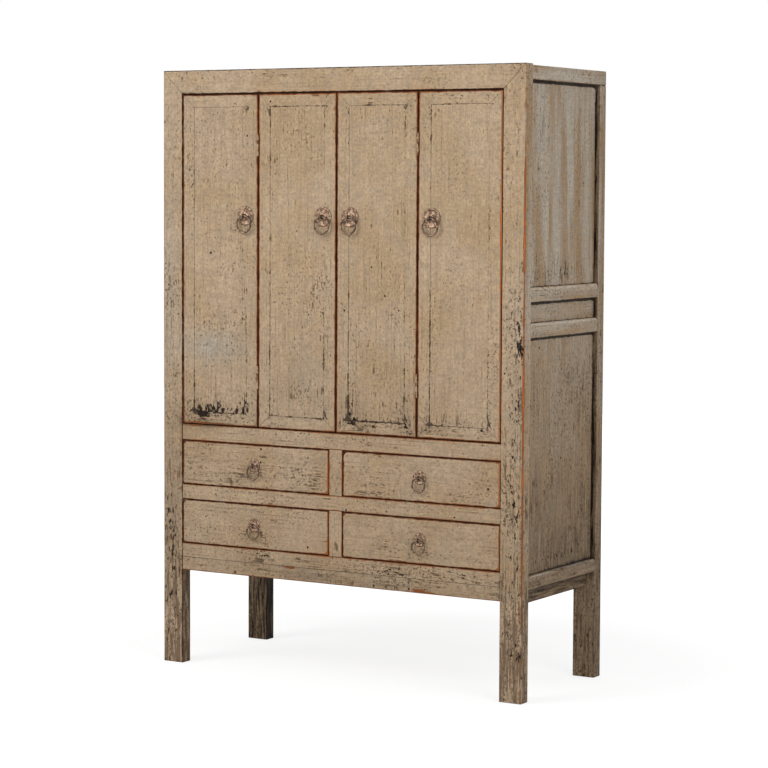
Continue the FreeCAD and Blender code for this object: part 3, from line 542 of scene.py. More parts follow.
def mark(bm, item, rng):
    """Note on each vertex of a board what its finish needs, and dent the rubbed edges."""
    age = item.age
    own_board = bm.verts.layers.float_vector["board"]
    layer = {name: bm.verts.layers.float[name] for name in MARKS}
    order = [(item.grain + step) % 3 for step in range(3)]
    shift = Vector([rng.uniform(0.0, 9.0) for _ in range(3)])
    tone = rng.uniform(-1.0, 1.0)
    near = {kind: nearby(patches, item.low, item.high) for kind, patches in PATCHES.items()}
    sizes = bpy.context.scene.cabinet_sizes
    for vert in bm.verts:
        point, normal = vert.co, vert.normal
        foot, shin, low_down, high_up = (fade(point.z, *ends) for ends in (FOOT, SHIN, LOW_DOWN, HIGH_UP))
        side_face = fade(abs(normal.x), *SIDE_FACE)
        upper_face = fade(normal.z, *UPPER_FACE)
        under_face = fade(-normal.z, *UNDER_FACE)

        edge = cover(point, near["rubbed"])
        if age.worn:
            edge = max(edge, age.rub * closeness(point, age.worn, EDGES))
        if age.most_worn:
            most = 1.12 - 0.25 * foot - 0.3 * high_up
            edge = max(edge, most * closeness(point, age.most_worn, EDGES))
        seam = 0.0
        if age.seam:
            cracked = age.crack * (0.84 + 0.50 * low_down + 0.06 * high_up)
            at_mitre = fade(min(abs(normal.x), abs(normal.z)), *MITRE_FACE)
            seam = cracked * max(closeness(point, age.seam, FACES), 1.5 * at_mitre)
        # Painted shadow and dirt under the edge of a rail, carried by the seam mark
        if age.shaded:
            seam = max(seam, 2.4 * fade(point.z, age.shaded - sizes.wear_reach, age.shaded))
        # Grey on side faces: weathering, and painted cooler light; upper faces are grey too, with their
        # painted highlight
        chalk = max(side_face * (1.0 - 0.9 * min(1.0, 1.6 * low_down)), upper_face)
        soil_and_shade = age.soil_and_shade if any(normal.dot(way) > 0.6 for way in age.soiled_and_shaded) else 0.0
        low_soil = (LOW_SOIL + age.grimy * side_face) * low_down
        # Dirt, with painted shade in some patches and on faces turned down
        soil_and_shade += low_soil + cover(point, near["dirty_and_shaded"]) + UNDER_SHADE * under_face
        wear = age.wear + LOW_WEAR * low_down + cover(point, near["chipped"]) + 0.45 * age.legs * foot
        rim = 0.0
        if age.shown and max(normal.dot(way) for way in age.shown) < 0.3:
            rim = 0.5 if normal.dot(age.shown[0]) < -0.7 else 1.0

        vert[own_board] = Vector([point[axis] for axis in order]) + shift
        vert[layer["tone"]] = tone
        vert[layer["edge"]] = edge
        vert[layer["grimed"]] = closeness(point, age.grimed, EDGES) if age.grimed else 0.0
        vert[layer["seam"]] = seam
        vert[layer["wear"]] = min(1.0, wear)
        vert[layer["bare"]] = age.legs * (0.15 + 0.35 * shin + 0.50 * foot)
        # Over 1 it is a painted highlight on upper faces
        vert[layer["weather"]] = min(1.0, chalk + cover(point, near["chalky"])) + age.pale * upper_face
        vert[layer["dirt"]] = min(1.0, soil_and_shade)
        vert[layer["rim"]] = rim
    for vert in bm.verts:
        if vert[layer["edge"]] > DENTED_FROM:
            dent = noise.noise(vert.co * per(18)) + 0.5 * noise.noise(vert.co * per(6))
            vert.co -= vert.normal * sizes.nick * max(0.0, dent)


def planks(low, high, shares, axis, grain, age=Ageing()):
    """Boards side by side along an axis that fill a box, in shares of its width."""
    at = low[axis]
    whole = high[axis] - low[axis]
    boards = []
    for share in shares:
        first, last = low.copy(), high.copy()
        first[axis] = at
        at += whole * share / sum(shares)
        last[axis] = at
        boards.append(Board(first, last, grain, age))
    return boards


def joined(node, *boards):
    """The mesh of a node's boards, which differ a little."""
    rng = random.Random(node)
    bm = start()
    for item in boards:
        add_board(bm, item, rng)
    return bm


def solids(node):
    """The boxes of a CAD node's separate solids, from the lowest up."""
    bm = bmesh.new()
    bm.from_mesh(frame["nodes"][node].data)
    bmesh.ops.remove_doubles(bm, verts=bm.verts, dist=SAME_PLACE)
    left = set(bm.verts)
    boxes = []
    while left:
        queue = [left.pop()]
        found = list(queue)
        while queue:
            for link in queue.pop().link_edges:
                for vert in link.verts:
                    if vert in left:
                        left.remove(vert)
                        queue.append(vert)
                        found.append(vert)
        low = Vector([min(vert.co[axis] for vert in found) for axis in range(3)])
        high = Vector([max(vert.co[axis] for vert in found) for axis in range(3)])
        boxes.append((low, high))
    bm.free()
    return sorted(boxes, key=lambda box: box[0].z)


def rod(bm, radius, depth, stand, segments):
    """A round rod along z, set in place by a matrix; its vertices come back."""
    made = bmesh.ops.create_cone(
        bm,
        cap_ends=True,
        segments=segments,
        radius1=radius,
        radius2=radius,
        depth=depth,
        matrix=stand,
    )
    return made["verts"]


def turn_round(bm, centre, axis, steps):
    """Turn an outline once round an axis."""
    bmesh.ops.spin(
        bm,
        geom=[*bm.verts, *bm.edges],
        cent=centre,
        axis=axis,
        angle=2 * math.pi,
        steps=steps,
        use_merge=True,
    )
    bmesh.ops.remove_doubles(bm, verts=bm.verts, dist=SAME_PLACE)


def hoop(bm, centre, radius, wire, axis, start_at, steps=72, thin=0.0, least_dark=0.0):
    """A round wire ring about an axis, a little thinner where it starts, with painted shade on its sides.
    """
    turn = Matrix((axis, start_at, axis.cross(start_at))).transposed().to_4x4()
    stand = Matrix.Translation(centre + start_at * radius) @ turn
    part = bmesh.new()
    dark = part.verts.layers.float.new("rim")
    bmesh.ops.create_circle(part, cap_ends=False, segments=16, radius=wire / 2, matrix=stand)
    turn_round(part, centre, axis, steps)
    for vert in part.verts:
        off = vert.co - centre
        outward = (off - axis * off.dot(axis)).normalized()
        core = centre + outward * radius
        near = max(0.0, outward.dot(start_at)) ** 4
        uneven = 0.04 * noise.noise(vert.co * per(7))
        vert.co = core + (vert.co - core) * (1.0 - thin * near + uneven)
    bmesh.ops.recalc_face_normals(part, faces=part.faces)
    part.normal_update()
    # Painted shade on the wire's sides; the least darkness is the metal's own colour
    for vert in part.verts:
        vert[dark] = max(least_dark, 0.95 * fade(abs(vert.normal.y), 0.88, 0.50))
    append(bm, part)


def stamped_plate(bm, centre, radius):
    """A round plate with a flat boss, a dished band, a raised rim and a scalloped edge."""
    sizes = bpy.context.scene.cabinet_sizes
    sheet, relief = sizes.plate_sheet, sizes.plate_relief
    petals = 14
    bead = 1.5 * MM
    rim = radius - 2 * bead
    profile = (
        (0.0, sheet + relief),
        (0.14 * radius, sheet + relief),
        (0.24 * radius, sheet + 0.90 * relief),
        (0.34 * radius, sheet + 0.45 * relief),
        (0.43 * radius, sheet + 0.05 * relief),
        (0.54 * radius, sheet),
        (0.66 * radius, sheet + 0.06 * relief),
        (rim - 2 * bead, sheet + 0.10 * relief),
        (rim - bead, sheet + 0.45 * relief),
        (rim, sheet + 0.62 * relief),
        (rim + bead, sheet + 0.40 * relief),
        (radius, 0.7 * sheet),
        (radius, 0.0),
    )
    part = bmesh.new()
    dark = part.verts.layers.float.new("rim")
    line = [part.verts.new(centre + Vector((out, -height, 0.0))) for out, height in profile]
    for pair in zip(line, line[1:]):
        part.edges.new(pair)
    turn_round(part, centre, BEHIND, petals * 8)
    for vert in part.verts:
        off = vert.co - centre
        out = math.hypot(off.x, off.z)
        share = out / radius
        wave = 0.5 + 0.5 * math.cos(petals * math.atan2(off.z, off.x))
        bite = sizes.scallop * wave**3 * fade(share, 0.86, 1.0)
        inward = (out - bite) / out if out > SAME_PLACE else 1.0
        vert.co = centre + Vector((off.x * inward, off.y, off.z * inward))
        # Painted shade on the boss, where the staple goes in, and on the edge; dark patina in the dished
        # band
        vert[dark] = max(0.85 * (share < 0.16 or share > 0.985), 0.5 * (0.36 < share < 0.5))
    bmesh.ops.recalc_face_normals(part, faces=part.faces)
    append(bm, part)


def add_pivot(bm, joint, radius, bottom, top):
    """A round pivot of an outer door, left on the end of its stile, in the dark colour of the gaps:
    stained wood with painted shade.
    """
    at = Vector(joint["pos_m"])
    at.z = (bottom + top) / 2
    rim = bm.verts.layers.float["rim"]
    for vert in rod(bm, radius, top - bottom, Matrix.Translation(at), segments=24):
        vert[rim] = 1.0


def place(bm, node, material, slot, smooth=False):
    """Make the mesh a piece that stands for a CAD node and moves with its body."""
    mesh = bpy.data.meshes.new(node + "_look")
    bm.to_mesh(mesh)
    bm.free()
    if not mesh.polygons:
        raise RuntimeError(f"{node} came out empty")
    for face in mesh.polygons:
        face.use_smooth = smooth
    if smooth:
        mesh.set_sharp_from_angle(angle=math.radians(40))
    mesh.materials.append(bpy.data.materials[material])
    piece = bpy.data.objects.new(node + "_look", mesh)
    bpy.context.scene.collection.objects.link(piece)
    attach(piece, frame["nodes"][node]["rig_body"])
    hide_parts(node)


def make(node, finish, *boards):
    """Make a node's boards a piece with a material and a slot."""
    place(joined(node, *boards), node, *finish)


def refinish(node, material):
    """Give a CAD node that is seen as it is its material."""
    mesh = frame["nodes"][node].data
    mesh.materials.clear()
    mesh.materials.append(bpy.data.materials[material])


# Finishes

ATTRIBUTE = "ShaderNodeAttribute"
COORDINATES = "ShaderNodeTexCoord"
MAPPING = "ShaderNodeMapping"
NOISE = "ShaderNodeTexNoise"
RANGE = "ShaderNodeMapRange"
MATH = "ShaderNodeMath"
MIX = "ShaderNodeMix"
SHADE = "ShaderNodeHueSaturation"
BUMP = "ShaderNodeBump"
SHADER = "ShaderNodeBsdfPrincipled"
OUTPUT = "ShaderNodeOutputMaterial"
SMOOTH = {"interpolation_type": "SMOOTHSTEP"}
COLOURS = {"data_type": "RGBA", "out": 2}
TIMES = {"operation": "MULTIPLY"}
TIMES_PLUS = {"operation": "MULTIPLY_ADD"}
MINUS = {"operation": "SUBTRACT"}
LARGER = {"operation": "MAXIMUM"}

# Patterns of the paint: width in millimetres, detail, roughness, distortion, and how far each is
# squeezed along and across its board, or None where it runs on over the whole cabinet. Specks,
# hairlines and ripples are drawn coarser than the real ones so that they show at the camera's
# distance.
PAINT_PATTERNS = {
    "clouds": (170, 3, 0.55, 0.0, None),
    "mottle": (26, 4, 0.60, 0.0, None),
    "grit": (7, 4, 0.75, 0.0, (0.8, 1.0)),
    "drifts": (110, 2, 0.55, 0.0, (0.5, 1.0)),
    "hairs": (4.5, 2, 0.60, 0.0, (0.025, 1.0)),
    "splits": (16, 2, 0.50, 0.3, (0.05, 1.0)),
    "ripple": (8, 3, 0.60, 1.6, (1.0, 0.12)),
    "streaks": (44, 3, 0.55, 0.0, (0.10, 1.0)),
    "flakes": (8, 4, 0.65, 0.0, (0.08, 1.0)),
    "chips": (9, 5, 0.70, 0.0, (0.4, 1.0)),
}


def per(size):
    """The scale of a pattern whose features are this many millimetres wide."""
    return 1000.0 / size


def add(tree, kind, inputs=None, out=0, **settings):
    """Add a node with its settings, set or link its inputs, and give back one of its outputs."""
    node = tree.nodes.new(kind)
    for key, value in settings.items():
        setattr(node, key, value)
    for socket, value in (inputs or {}).items():
        if isinstance(value, bpy.types.NodeSocket):
            tree.links.new(value, node.inputs[socket])
        else:
            node.inputs[socket].default_value = (*value, 1.0) if isinstance(value, Color) else value
    return node.outputs[out] if node.outputs else None


def new_material(name):
    """Make an empty material, and give back add for its node tree."""
    material = bpy.data.materials.new(name)
    material.use_nodes = True
    material.node_tree.nodes.clear()
    return partial(add, material.node_tree)


def worn_paint():
    """Old khaki oil paint, brushed over a red-brown ground on wood.

    The eye sees a matt coat with grey specks, fine hairlines and splits along the grain and faint
    ripples across it, red-brown edges where it is rubbed, black chips, and grey and tan runs on the
    sides. Where the brush never went there is stained wood.
    """
    colours = bpy.context.scene.cabinet_colours
    put = new_material("worn_khaki_paint")
    edge, grimed, wear, bare, weather, rim, tone, seam, dirt = (
        put(ATTRIBUTE, out="Fac", attribute_name=name) for name in MARKS
    )
    board_at = put(ATTRIBUTE, out="Vector", attribute_name="board")
    object_at = put(COORDINATES, out="Object")
    pattern = {}
    for name, (width, detail, roughness, distortion, squeeze) in PAINT_PATTERNS.items():
        at = object_at
        if squeeze:
            along, across = squeeze
            at = put(MAPPING, {"Vector": board_at, "Scale": (along, across, across)})
        inputs = {"Vector": at, "Scale": per(width), "Detail": detail}
        inputs.update({"Roughness": roughness, "Distortion": distortion})
        pattern[name] = put(NOISE, inputs)
    clouds, mottle, grit, hairs = (pattern[name] for name in ("clouds", "mottle", "grit", "hairs"))
    # The same around nought, to make other values uneven
    cloud_swing, mottle_swing, grit_swing = (
        put(MATH, {0: value, 1: 0.5}, **MINUS) for value in (clouds, mottle, grit)
    )

    # The coat, a little yellower in clouds, grey where it is weathered and where cooler light is painted
    # on the sides, with tan runs there that are faint on the front
    thin = put(MATH, {0: mottle, 1: 0.5, 2: clouds}, **TIMES_PLUS)
    thin = put(RANGE, {0: thin, 1: 0.60, 2: 0.95}, **SMOOTH)
    coat = put(MIX, {0: thin, 6: colours.paint, 7: colours.paint_worn}, **COLOURS)
    runs = put(MATH, {0: mottle_swing, 1: 0.35, 2: pattern["streaks"]}, **TIMES_PLUS)
    runs = put(RANGE, {0: runs, 1: 0.36, 2: 0.70}, **SMOOTH)
    facing = put(COORDINATES, out="Normal")
    facing = put("ShaderNodeSeparateXYZ", {0: facing}, out="Y")
    facing = put(RANGE, {0: facing, 1: -0.8, 2: -0.4, 3: 0.25, 4: 1.0}, **SMOOTH)
    runs = put(MATH, {0: runs, 1: facing}, **TIMES)
    chalk = put(MIX, {0: runs, 6: colours.chalk, 7: colours.chalk_tan}, **COLOURS)
    coat = put(MIX, {0: weather, 6: coat, 7: chalk}, **COLOURS)
    light = put(RANGE, {0: mottle, 1: 0.3, 2: 0.7, 3: 0.88, 4: 1.12}, **SMOOTH)
    light = put(MATH, {0: tone, 1: 0.02, 2: light}, **TIMES_PLUS)
    waves = put(RANGE, {0: pattern["ripple"], 1: 0.25, 2: 0.75, 3: 0.92, 4: 1.07}, **SMOOTH)
    brushing = put(RANGE, {0: hairs, 1: 0.30, 2: 0.70, 3: 0.94, 4: 1.06}, **SMOOTH)
    grains = put(RANGE, {0: grit, 1: 0.35, 2: 0.65, 3: 1.16, 4: 0.85}, **SMOOTH)
    for share in (waves, brushing, grains):
        light = put(MATH, {0: light, 1: share}, **TIMES)
    # A painted highlight on upper faces, where the weather mark goes over 1
    pale = put(MATH, {0: weather, 1: 1.0}, use_clamp=True, **MINUS)
    light = put(MATH, {0: pale, 1: 0.5, 2: light}, **TIMES_PLUS)
    coat = put(SHADE, {"Value": light, "Color": coat})

    # Dark specks in drifts, thicker where the coat is worn
    drift = put(RANGE, {0: pattern["drifts"], 1: 0.42, 2: 0.64, 3: 0.68, 4: 0.62}, **SMOOTH)
    worn = put(MATH, {0: wear, 1: 0.4}, operation="MINIMUM")
    drift = put(MATH, {0: worn, 1: -0.20, 2: drift}, **TIMES_PLUS)
    specks = put(MATH, {0: grit, 1: drift}, **MINUS)
    specks = put(RANGE, {0: specks, 2: 0.035, 4: 0.85}, **SMOOTH)

    # Hairlines broken by the mottling, and longer splits, both more where the coat is worn
    lines = put(RANGE, {0: hairs, 1: 0.40, 2: 0.28}, **SMOOTH)
    gaps = put(MATH, {0: worn, 1: 0.4, 2: mottle}, **TIMES_PLUS)
    gaps = put(RANGE, {0: gaps, 1: 0.50, 2: 0.72, 3: 0.05, 4: 0.7}, **SMOOTH)
    lines = put(MATH, {0: lines, 1: gaps}, **TIMES)
    split = put(MATH, {0: pattern["splits"], 1: 0.5}, **MINUS)
    split = put(MATH, {0: split}, operation="ABSOLUTE")
    split = put(RANGE, {0: split, 1: 0.040, 2: 0.010}, **SMOOTH)
    places = put(MATH, {0: worn, 1: 0.5, 2: mottle}, **TIMES_PLUS)
    places = put(MATH, {0: cloud_swing, 1: 0.5, 2: places}, **TIMES_PLUS)
    places = put(RANGE, {0: places, 1: 0.66, 2: 0.80, 4: 0.8}, **SMOOTH)
    split = put(MATH, {0: split, 1: places}, **TIMES)
    lines = put(MATH, {0: lines, 1: split}, **LARGER)

    # Weathered wood in streaks, most of all on the legs
    bare_from = put(MATH, {0: bare, 1: -0.42, 2: 0.74}, **TIMES_PLUS)
    bared = put(MATH, {0: pattern["flakes"], 1: bare_from}, **MINUS)
    bared = put(RANGE, {0: bared, 1: -0.04, 2: 0.06}, **SMOOTH)

    # Red-brown ground along the rubbed edges, orange where they are rubbed most
    rub = put(MATH, {0: mottle_swing, 1: 0.6, 2: edge}, **TIMES_PLUS)
    rub = put(MATH, {0: cloud_swing, 1: 0.4, 2: rub}, **TIMES_PLUS)
    bright = put(MATH, {0: cloud_swing, 1: 0.6, 2: rub}, **TIMES_PLUS)
    bright = put(RANGE, {0: bright, 1: 0.98, 2: 1.12}, **SMOOTH)
    ground = put(MIX, {0: bright, 6: colours.ground, 7: colours.ground_bright}, **COLOURS)
    rubbed = put(RANGE, {0: rub, 1: 0.68, 2: 0.84}, **SMOOTH)
    black = put(MATH, {0: mottle_swing, 1: 0.6, 2: grimed}, **TIMES_PLUS)
    black = put(RANGE, {0: black, 1: 0.74, 2: 0.88, 4: 0.95}, **SMOOTH)

    # Paint that has cracked along the joints of the panels, here and there, black where it is worst; the
    # same mark carries the painted shadow and dirt under the side rails
    crack = seam
    for swing, share in ((grit_swing, 0.8), (mottle_swing, 0.9), (cloud_swing, 0.7)):
        crack = put(MATH, {0: swing, 1: share, 2: crack}, **TIMES_PLUS)
    worst = put(RANGE, {0: crack, 1: 1.05, 2: 1.40}, **SMOOTH)
    worst = put(MIX, {0: worst, 6: colours.grime, 7: colours.chip}, **COLOURS)
    cracked = put(RANGE, {0: crack, 1: 0.84, 2: 1.02, 4: 0.95}, **SMOOTH)

    # Chips down to black wood: clusters where the wear says so, and stray nail holes and knocks
    chip_from = put(MATH, {0: wear, 1: -0.40, 2: 0.83}, **TIMES_PLUS)
    chipped = put(MATH, {0: pattern["chips"], 1: chip_from}, **MINUS)
    chipped = put(RANGE, {0: chipped, 1: -0.01, 2: 0.04}, **SMOOTH)
    away = put("ShaderNodeTexVoronoi", {"Vector": board_at, "Scale": per(40)}, out="Distance")
    chosen = put("ShaderNodeSeparateColor", {0: away.node.outputs["Color"]})
    hole = put(RANGE, {0: chosen, 1: 0.60, 2: 1.0, 4: 0.11}, **SMOOTH)
    hole = put(MATH, {0: hole, 1: away}, **MINUS)
    hole = put(RANGE, {0: hole, 1: 0.0, 2: 0.03}, **SMOOTH)
    chipped = put(MATH, {0: chipped, 1: hole}, **LARGER)

    # Stained wood on the backs, and painted shade on the darker stained wood inside the gaps
    figure = put(RANGE, {0: hairs, 1: 0.22, 2: 0.46}, **SMOOTH)
    unpainted = put(MIX, {0: figure, 6: colours.dirt, 7: colours.edge_wood}, **COLOURS)
    in_gap = put(RANGE, {0: rim, 1: 0.6, 2: 0.9}, **SMOOTH)
    unpainted = put(MIX, {0: in_gap, 6: unpainted, 7: colours.gap_wood_and_shade}, **COLOURS)
    missed = put(RANGE, {0: rim, 1: 0.2, 2: 0.45}, **SMOOTH)

    # Dirt that has run down in streaks, and painted shade, both from the dirt mark
    soiled_and_shaded = put(RANGE, {0: pattern["flakes"], 1: 0.35, 2: 0.65, 3: 0.75, 4: 1.25}, **SMOOTH)
    soiled_and_shaded = put(MATH, {0: soiled_and_shaded, 1: dirt}, **TIMES)
    thick = put(RANGE, {0: soiled_and_shaded, 1: 0.65, 2: 1.0}, **SMOOTH)
    thick = put(MIX, {0: thick, 6: colours.dirt, 7: colours.chip}, **COLOURS)

    for share, colour in (
        (specks, colours.grime),
        (lines, colours.grime),
        (bared, colours.weathered_wood),
        (rubbed, ground),
        (black, colours.gap_wood_and_shade),
        (cracked, worst),
        (chipped, colours.chip),
        (soiled_and_shaded, thick),
        (missed, unpainted),
    ):
        coat = put(MIX, {0: share, 6: coat, 7: colour}, **COLOURS)

    rough = put(RANGE, {0: mottle, 1: 0.3, 2: 0.7, 3: 0.50, 4: 0.62}, **SMOOTH)
    rough = put(MATH, {0: chipped, 1: 0.2, 2: rough}, **TIMES_PLUS)
    height = put(MATH, {0: grit, 1: -0.3}, **TIMES)
    height = put(MATH, {0: pattern["ripple"], 1: 0.7, 2: height}, **TIMES_PLUS)
    gone = put(MATH, {0: chipped, 1: bared}, **LARGER)
    height = put(MATH, {0: gone, 1: -0.8, 2: height}, **TIMES_PLUS)
    height = put(MATH, {0: height, 1: lines}, **MINUS)
    bump = put(BUMP, {"Height": height, "Strength": 0.5, "Distance": 0.4 * MM})
    inputs = {"Base Color": coat, "Roughness": rough, "Normal": bump, "Specular IOR Level": 0.12}
    put(OUTPUT, {"Surface": put(SHADER, inputs)})


def old_softwood(name, on_boards):
    """Unpainted fir, sawn and planed by hand, browned by age.

    The eye sees brown earlywood with darker latewood lines along the boards and a dry surface.
    """
    colours = bpy.context.scene.cabinet_colours
    put = new_material(name)
    if on_boards:
        at = put(ATTRIBUTE, out="Vector", attribute_name="board")
    else:
        at = put(COORDINATES, out="Object")
    squeeze = (0.03, 1.0, 1.0) if on_boards else (1.0, 0.03, 1.0)
    along = put(MAPPING, {"Vector": at, "Scale": squeeze})
    lines = put(NOISE, {"Vector": along, "Scale": per(7), "Detail": 4.0, "Roughness": 0.6})
    clouds = put(NOISE, {"Vector": at, "Scale": per(120), "Detail": 3.0})
    late = put(RANGE, {0: lines, 1: 0.36, 2: 0.62}, **SMOOTH)
    colour = put(MIX, {0: late, 6: colours.wood_dark, 7: colours.wood}, **COLOURS)
    shade = put(RANGE, {0: clouds, 1: 0.3, 2: 0.7, 3: 0.82, 4: 1.1})
    colour = put(SHADE, {"Value": shade, "Color": colour})
    rough = put(RANGE, {0: lines, 1: 0.3, 2: 0.7, 3: 0.82, 4: 0.66})
    bump = put(BUMP, {"Height": lines, "Strength": 0.5, "Distance": 0.4 * MM})
    surface = put(SHADER, {"Base Color": colour, "Roughness": rough, "Normal": bump})
    put(OUTPUT, {"Surface": surface})


def aged_bronze():
    """Bronze that was cast or stamped, browned by age and rubbed by hands.

    The eye sees a brown metal with pale rubbed patches, dark spots, painted shade on its sides and edges,
    dark patina in the hollows, and a soft, broken gloss.
    """
    colours = bpy.context.scene.cabinet_colours
    put = new_material("aged_bronze")
    at = put(COORDINATES, out="Object")
    # Patina in the hollows, and painted shade on the sides and edges
    deep = put(ATTRIBUTE, out="Fac", attribute_name="rim")
    patches = put(NOISE, {"Vector": at, "Scale": per(9), "Detail": 3.0})
    spots = put(NOISE, {"Vector": at, "Scale": per(4), "Detail": 4.0, "Roughness": 0.65})
    rubbed = put(RANGE, {0: patches, 1: 0.42, 2: 0.62}, **SMOOTH)
    tarnish = put(RANGE, {0: spots, 1: 0.46, 2: 0.34}, **SMOOTH)
    colour = put(MIX, {0: rubbed, 6: colours.bronze, 7: colours.bronze_bright}, **COLOURS)
    for share in (tarnish, deep):
        colour = put(MIX, {0: share, 6: colour, 7: colours.bronze_dark}, **COLOURS)
    rough = put(RANGE, {0: spots, 1: 0.3, 2: 0.7, 3: 0.62, 4: 0.40})
    bump = put(BUMP, {"Height": spots, "Strength": 0.5, "Distance": 0.3 * MM})
    inputs = {"Base Color": colour, "Roughness": rough, "Normal": bump, "Metallic": 0.6}
    put(OUTPUT, {"Surface": put(SHADER, inputs)})


def painted_brass():
    """Cast brass hinges that were painted over with the doors.

    The eye sees khaki paint, worn through in patches to dark brown brass.
    """
    colours = bpy.context.scene.cabinet_colours
    put = new_material("painted_brass")
    at = put(COORDINATES, out="Object")
    patches = put(NOISE, {"Vector": at, "Scale": per(14), "Detail": 4.0, "Roughness": 0.6})
    spots = put(NOISE, {"Vector": at, "Scale": per(4), "Detail": 4.0, "Roughness": 0.65})
    tarnish = put(RANGE, {0: spots, 1: 0.56, 2: 0.40}, **SMOOTH)
    colour = put(MIX, {0: tarnish, 6: colours.brass, 7: colours.brass_dark}, **COLOURS)
    painted = put(RANGE, {0: patches, 1: 0.46, 2: 0.54}, **SMOOTH)
    colour = put(MIX, {0: painted, 6: colour, 7: colours.paint_worn}, **COLOURS)
    metal = put(RANGE, {0: painted, 3: 0.6, 4: 0.0})
    rough = put(RANGE, {0: spots, 1: 0.3, 2: 0.7, 3: 0.62, 4: 0.48})
    height = put(MATH, {0: painted, 1: 1.0, 2: spots}, **TIMES_PLUS)
    bump = put(BUMP, {"Height": height, "Strength": 0.5, "Distance": 0.2 * MM})
    inputs = {"Base Color": colour, "Roughness": rough, "Normal": bump, "Metallic": metal}
    put(OUTPUT, {"Surface": put(SHADER, inputs)})


# Stage

WHITE = (1.0, 1.0, 1.0, 1.0)
LAMP_SIZE = 2.6
LAMPS_FACE = Vector((0.0, 0.0, 1.0))


def lay_floor():
    """A matt studio floor: white to the camera, with the cabinet's shadow kept in it."""
    scene = bpy.context.scene
    put = new_material("studio_floor")
    matt = put(SHADER, {"Base Color": scene.cabinet_colours.floor, "Roughness": 0.9})
    glow = put("ShaderNodeEmission", {"Color": WHITE, "Strength": 1.2})
    at = put(COORDINATES, out="Object")
    away = put("ShaderNodeVectorMath", {0: at}, out="Value", operation="LENGTH")
    share = put(RANGE, {0: away, 1: 0.9, 2: 2.4, 3: 0.65, 4: 1.0})
    seen = put("ShaderNodeLightPath", out="Is Camera Ray")
    share = put(MATH, {0: seen, 1: share}, **TIMES)
    put(OUTPUT, {"Surface": put("ShaderNodeMixShader", {0: share, 1: matt, 2: glow})})
    bm = bmesh.new()
    bmesh.ops.create_grid(bm, x_segments=2, y_segments=2, size=8.0)
    mesh = bpy.data.meshes.new("studio_floor")
    bm.to_mesh(mesh)
    bm.free()
    mesh.materials.append(bpy.data.materials["studio_floor"])
    floor = bpy.data.objects.new("studio_floor", mesh)
    scene.collection.objects.link(floor)


def light_studio():
    """White surroundings for the camera and in reflections, softer for the light they give."""
    world = bpy.data.worlds.new("studio")
    world.use_nodes = True
    world.node_tree.nodes.clear()
    put = partial(add, world.node_tree)
    seen = put("ShaderNodeLightPath", out="Is Camera Ray")
    for ray in ("Is Glossy Ray", "Is Transmission Ray"):
        seen = put(MATH, {0: seen, 1: put("ShaderNodeLightPath", out=ray)}, **LARGER)
    dim = put("ShaderNodeBackground", {"Color": WHITE, "Strength": 0.5})
    full = put("ShaderNodeBackground", {"Color": WHITE, "Strength": 1.0})
    mixed = put("ShaderNodeMixShader", {0: seen, 1: dim, 2: full})
    put("ShaderNodeOutputWorld", {"Surface": mixed})
    bpy.context.scene.world = world


def lamp(name, at, power):
    """A square soft lamp that faces the cabinet."""
    data = bpy.data.lights.new(name, "AREA")
    data.shape = "SQUARE"
    data.size = LAMP_SIZE
    data.energy = power
    holder = bpy.data.objects.new(name, data)
    holder.location = at
    holder.rotation_euler = (LAMPS_FACE - Vector(at)).to_track_quat("-Z", "Y").to_euler()
    bpy.context.scene.collection.objects.link(holder)


def set_camera():
    """The camera at the photograph's view, a little above the pulls of the doors."""
    data = bpy.data.cameras.new("photo_camera")
    data.sensor_width = 36.0
    data.lens = 118.48
    data.shift_x = 0.0005
    data.shift_y = -0.0327
    data.clip_end = 50.0
    at = (3.876, -6.4025, 1.4443)
    yaw, pitch, roll = 0.5425, -0.0688, 0.005
    ahead = Vector((-math.sin(yaw) * math.cos(pitch), math.cos(yaw) * math.cos(pitch), math.sin(pitch)))
    right = Vector((math.cos(yaw), math.sin(yaw), 0.0))
    upward = right.cross(ahead)
    level = math.cos(roll) * right + math.sin(roll) * upward
    upright = math.cos(roll) * upward - math.sin(roll) * right
    turn = Matrix((level, upright, -ahead)).transposed().to_4x4()
    camera = bpy.data.objects.new("photo_camera", data)
    camera.matrix_world = Matrix.Translation(at) @ turn
    bpy.context.scene.collection.objects.link(camera)
    bpy.context.scene.camera = camera


# Operators

PAINTED = ("worn_khaki_paint", "painted_wood")
BARE = ("old_softwood", "bare_wood")
BRONZE = ("aged_bronze", "pull_bronze")


class CABINET_OT_finishes(bpy.types.Operator):
    """Make the paint, the bare wood, the bronze and the brass"""

    bl_idname = "cabinet.finishes"
    bl_label = "Finishes"

    def execute(self, context):
        worn_paint()
        old_softwood("old_softwood", on_boards=True)
        old_softwood("old_softwood_strips", on_boards=False)
        aged_bronze()
        painted_brass()
        return {"FINISHED"}


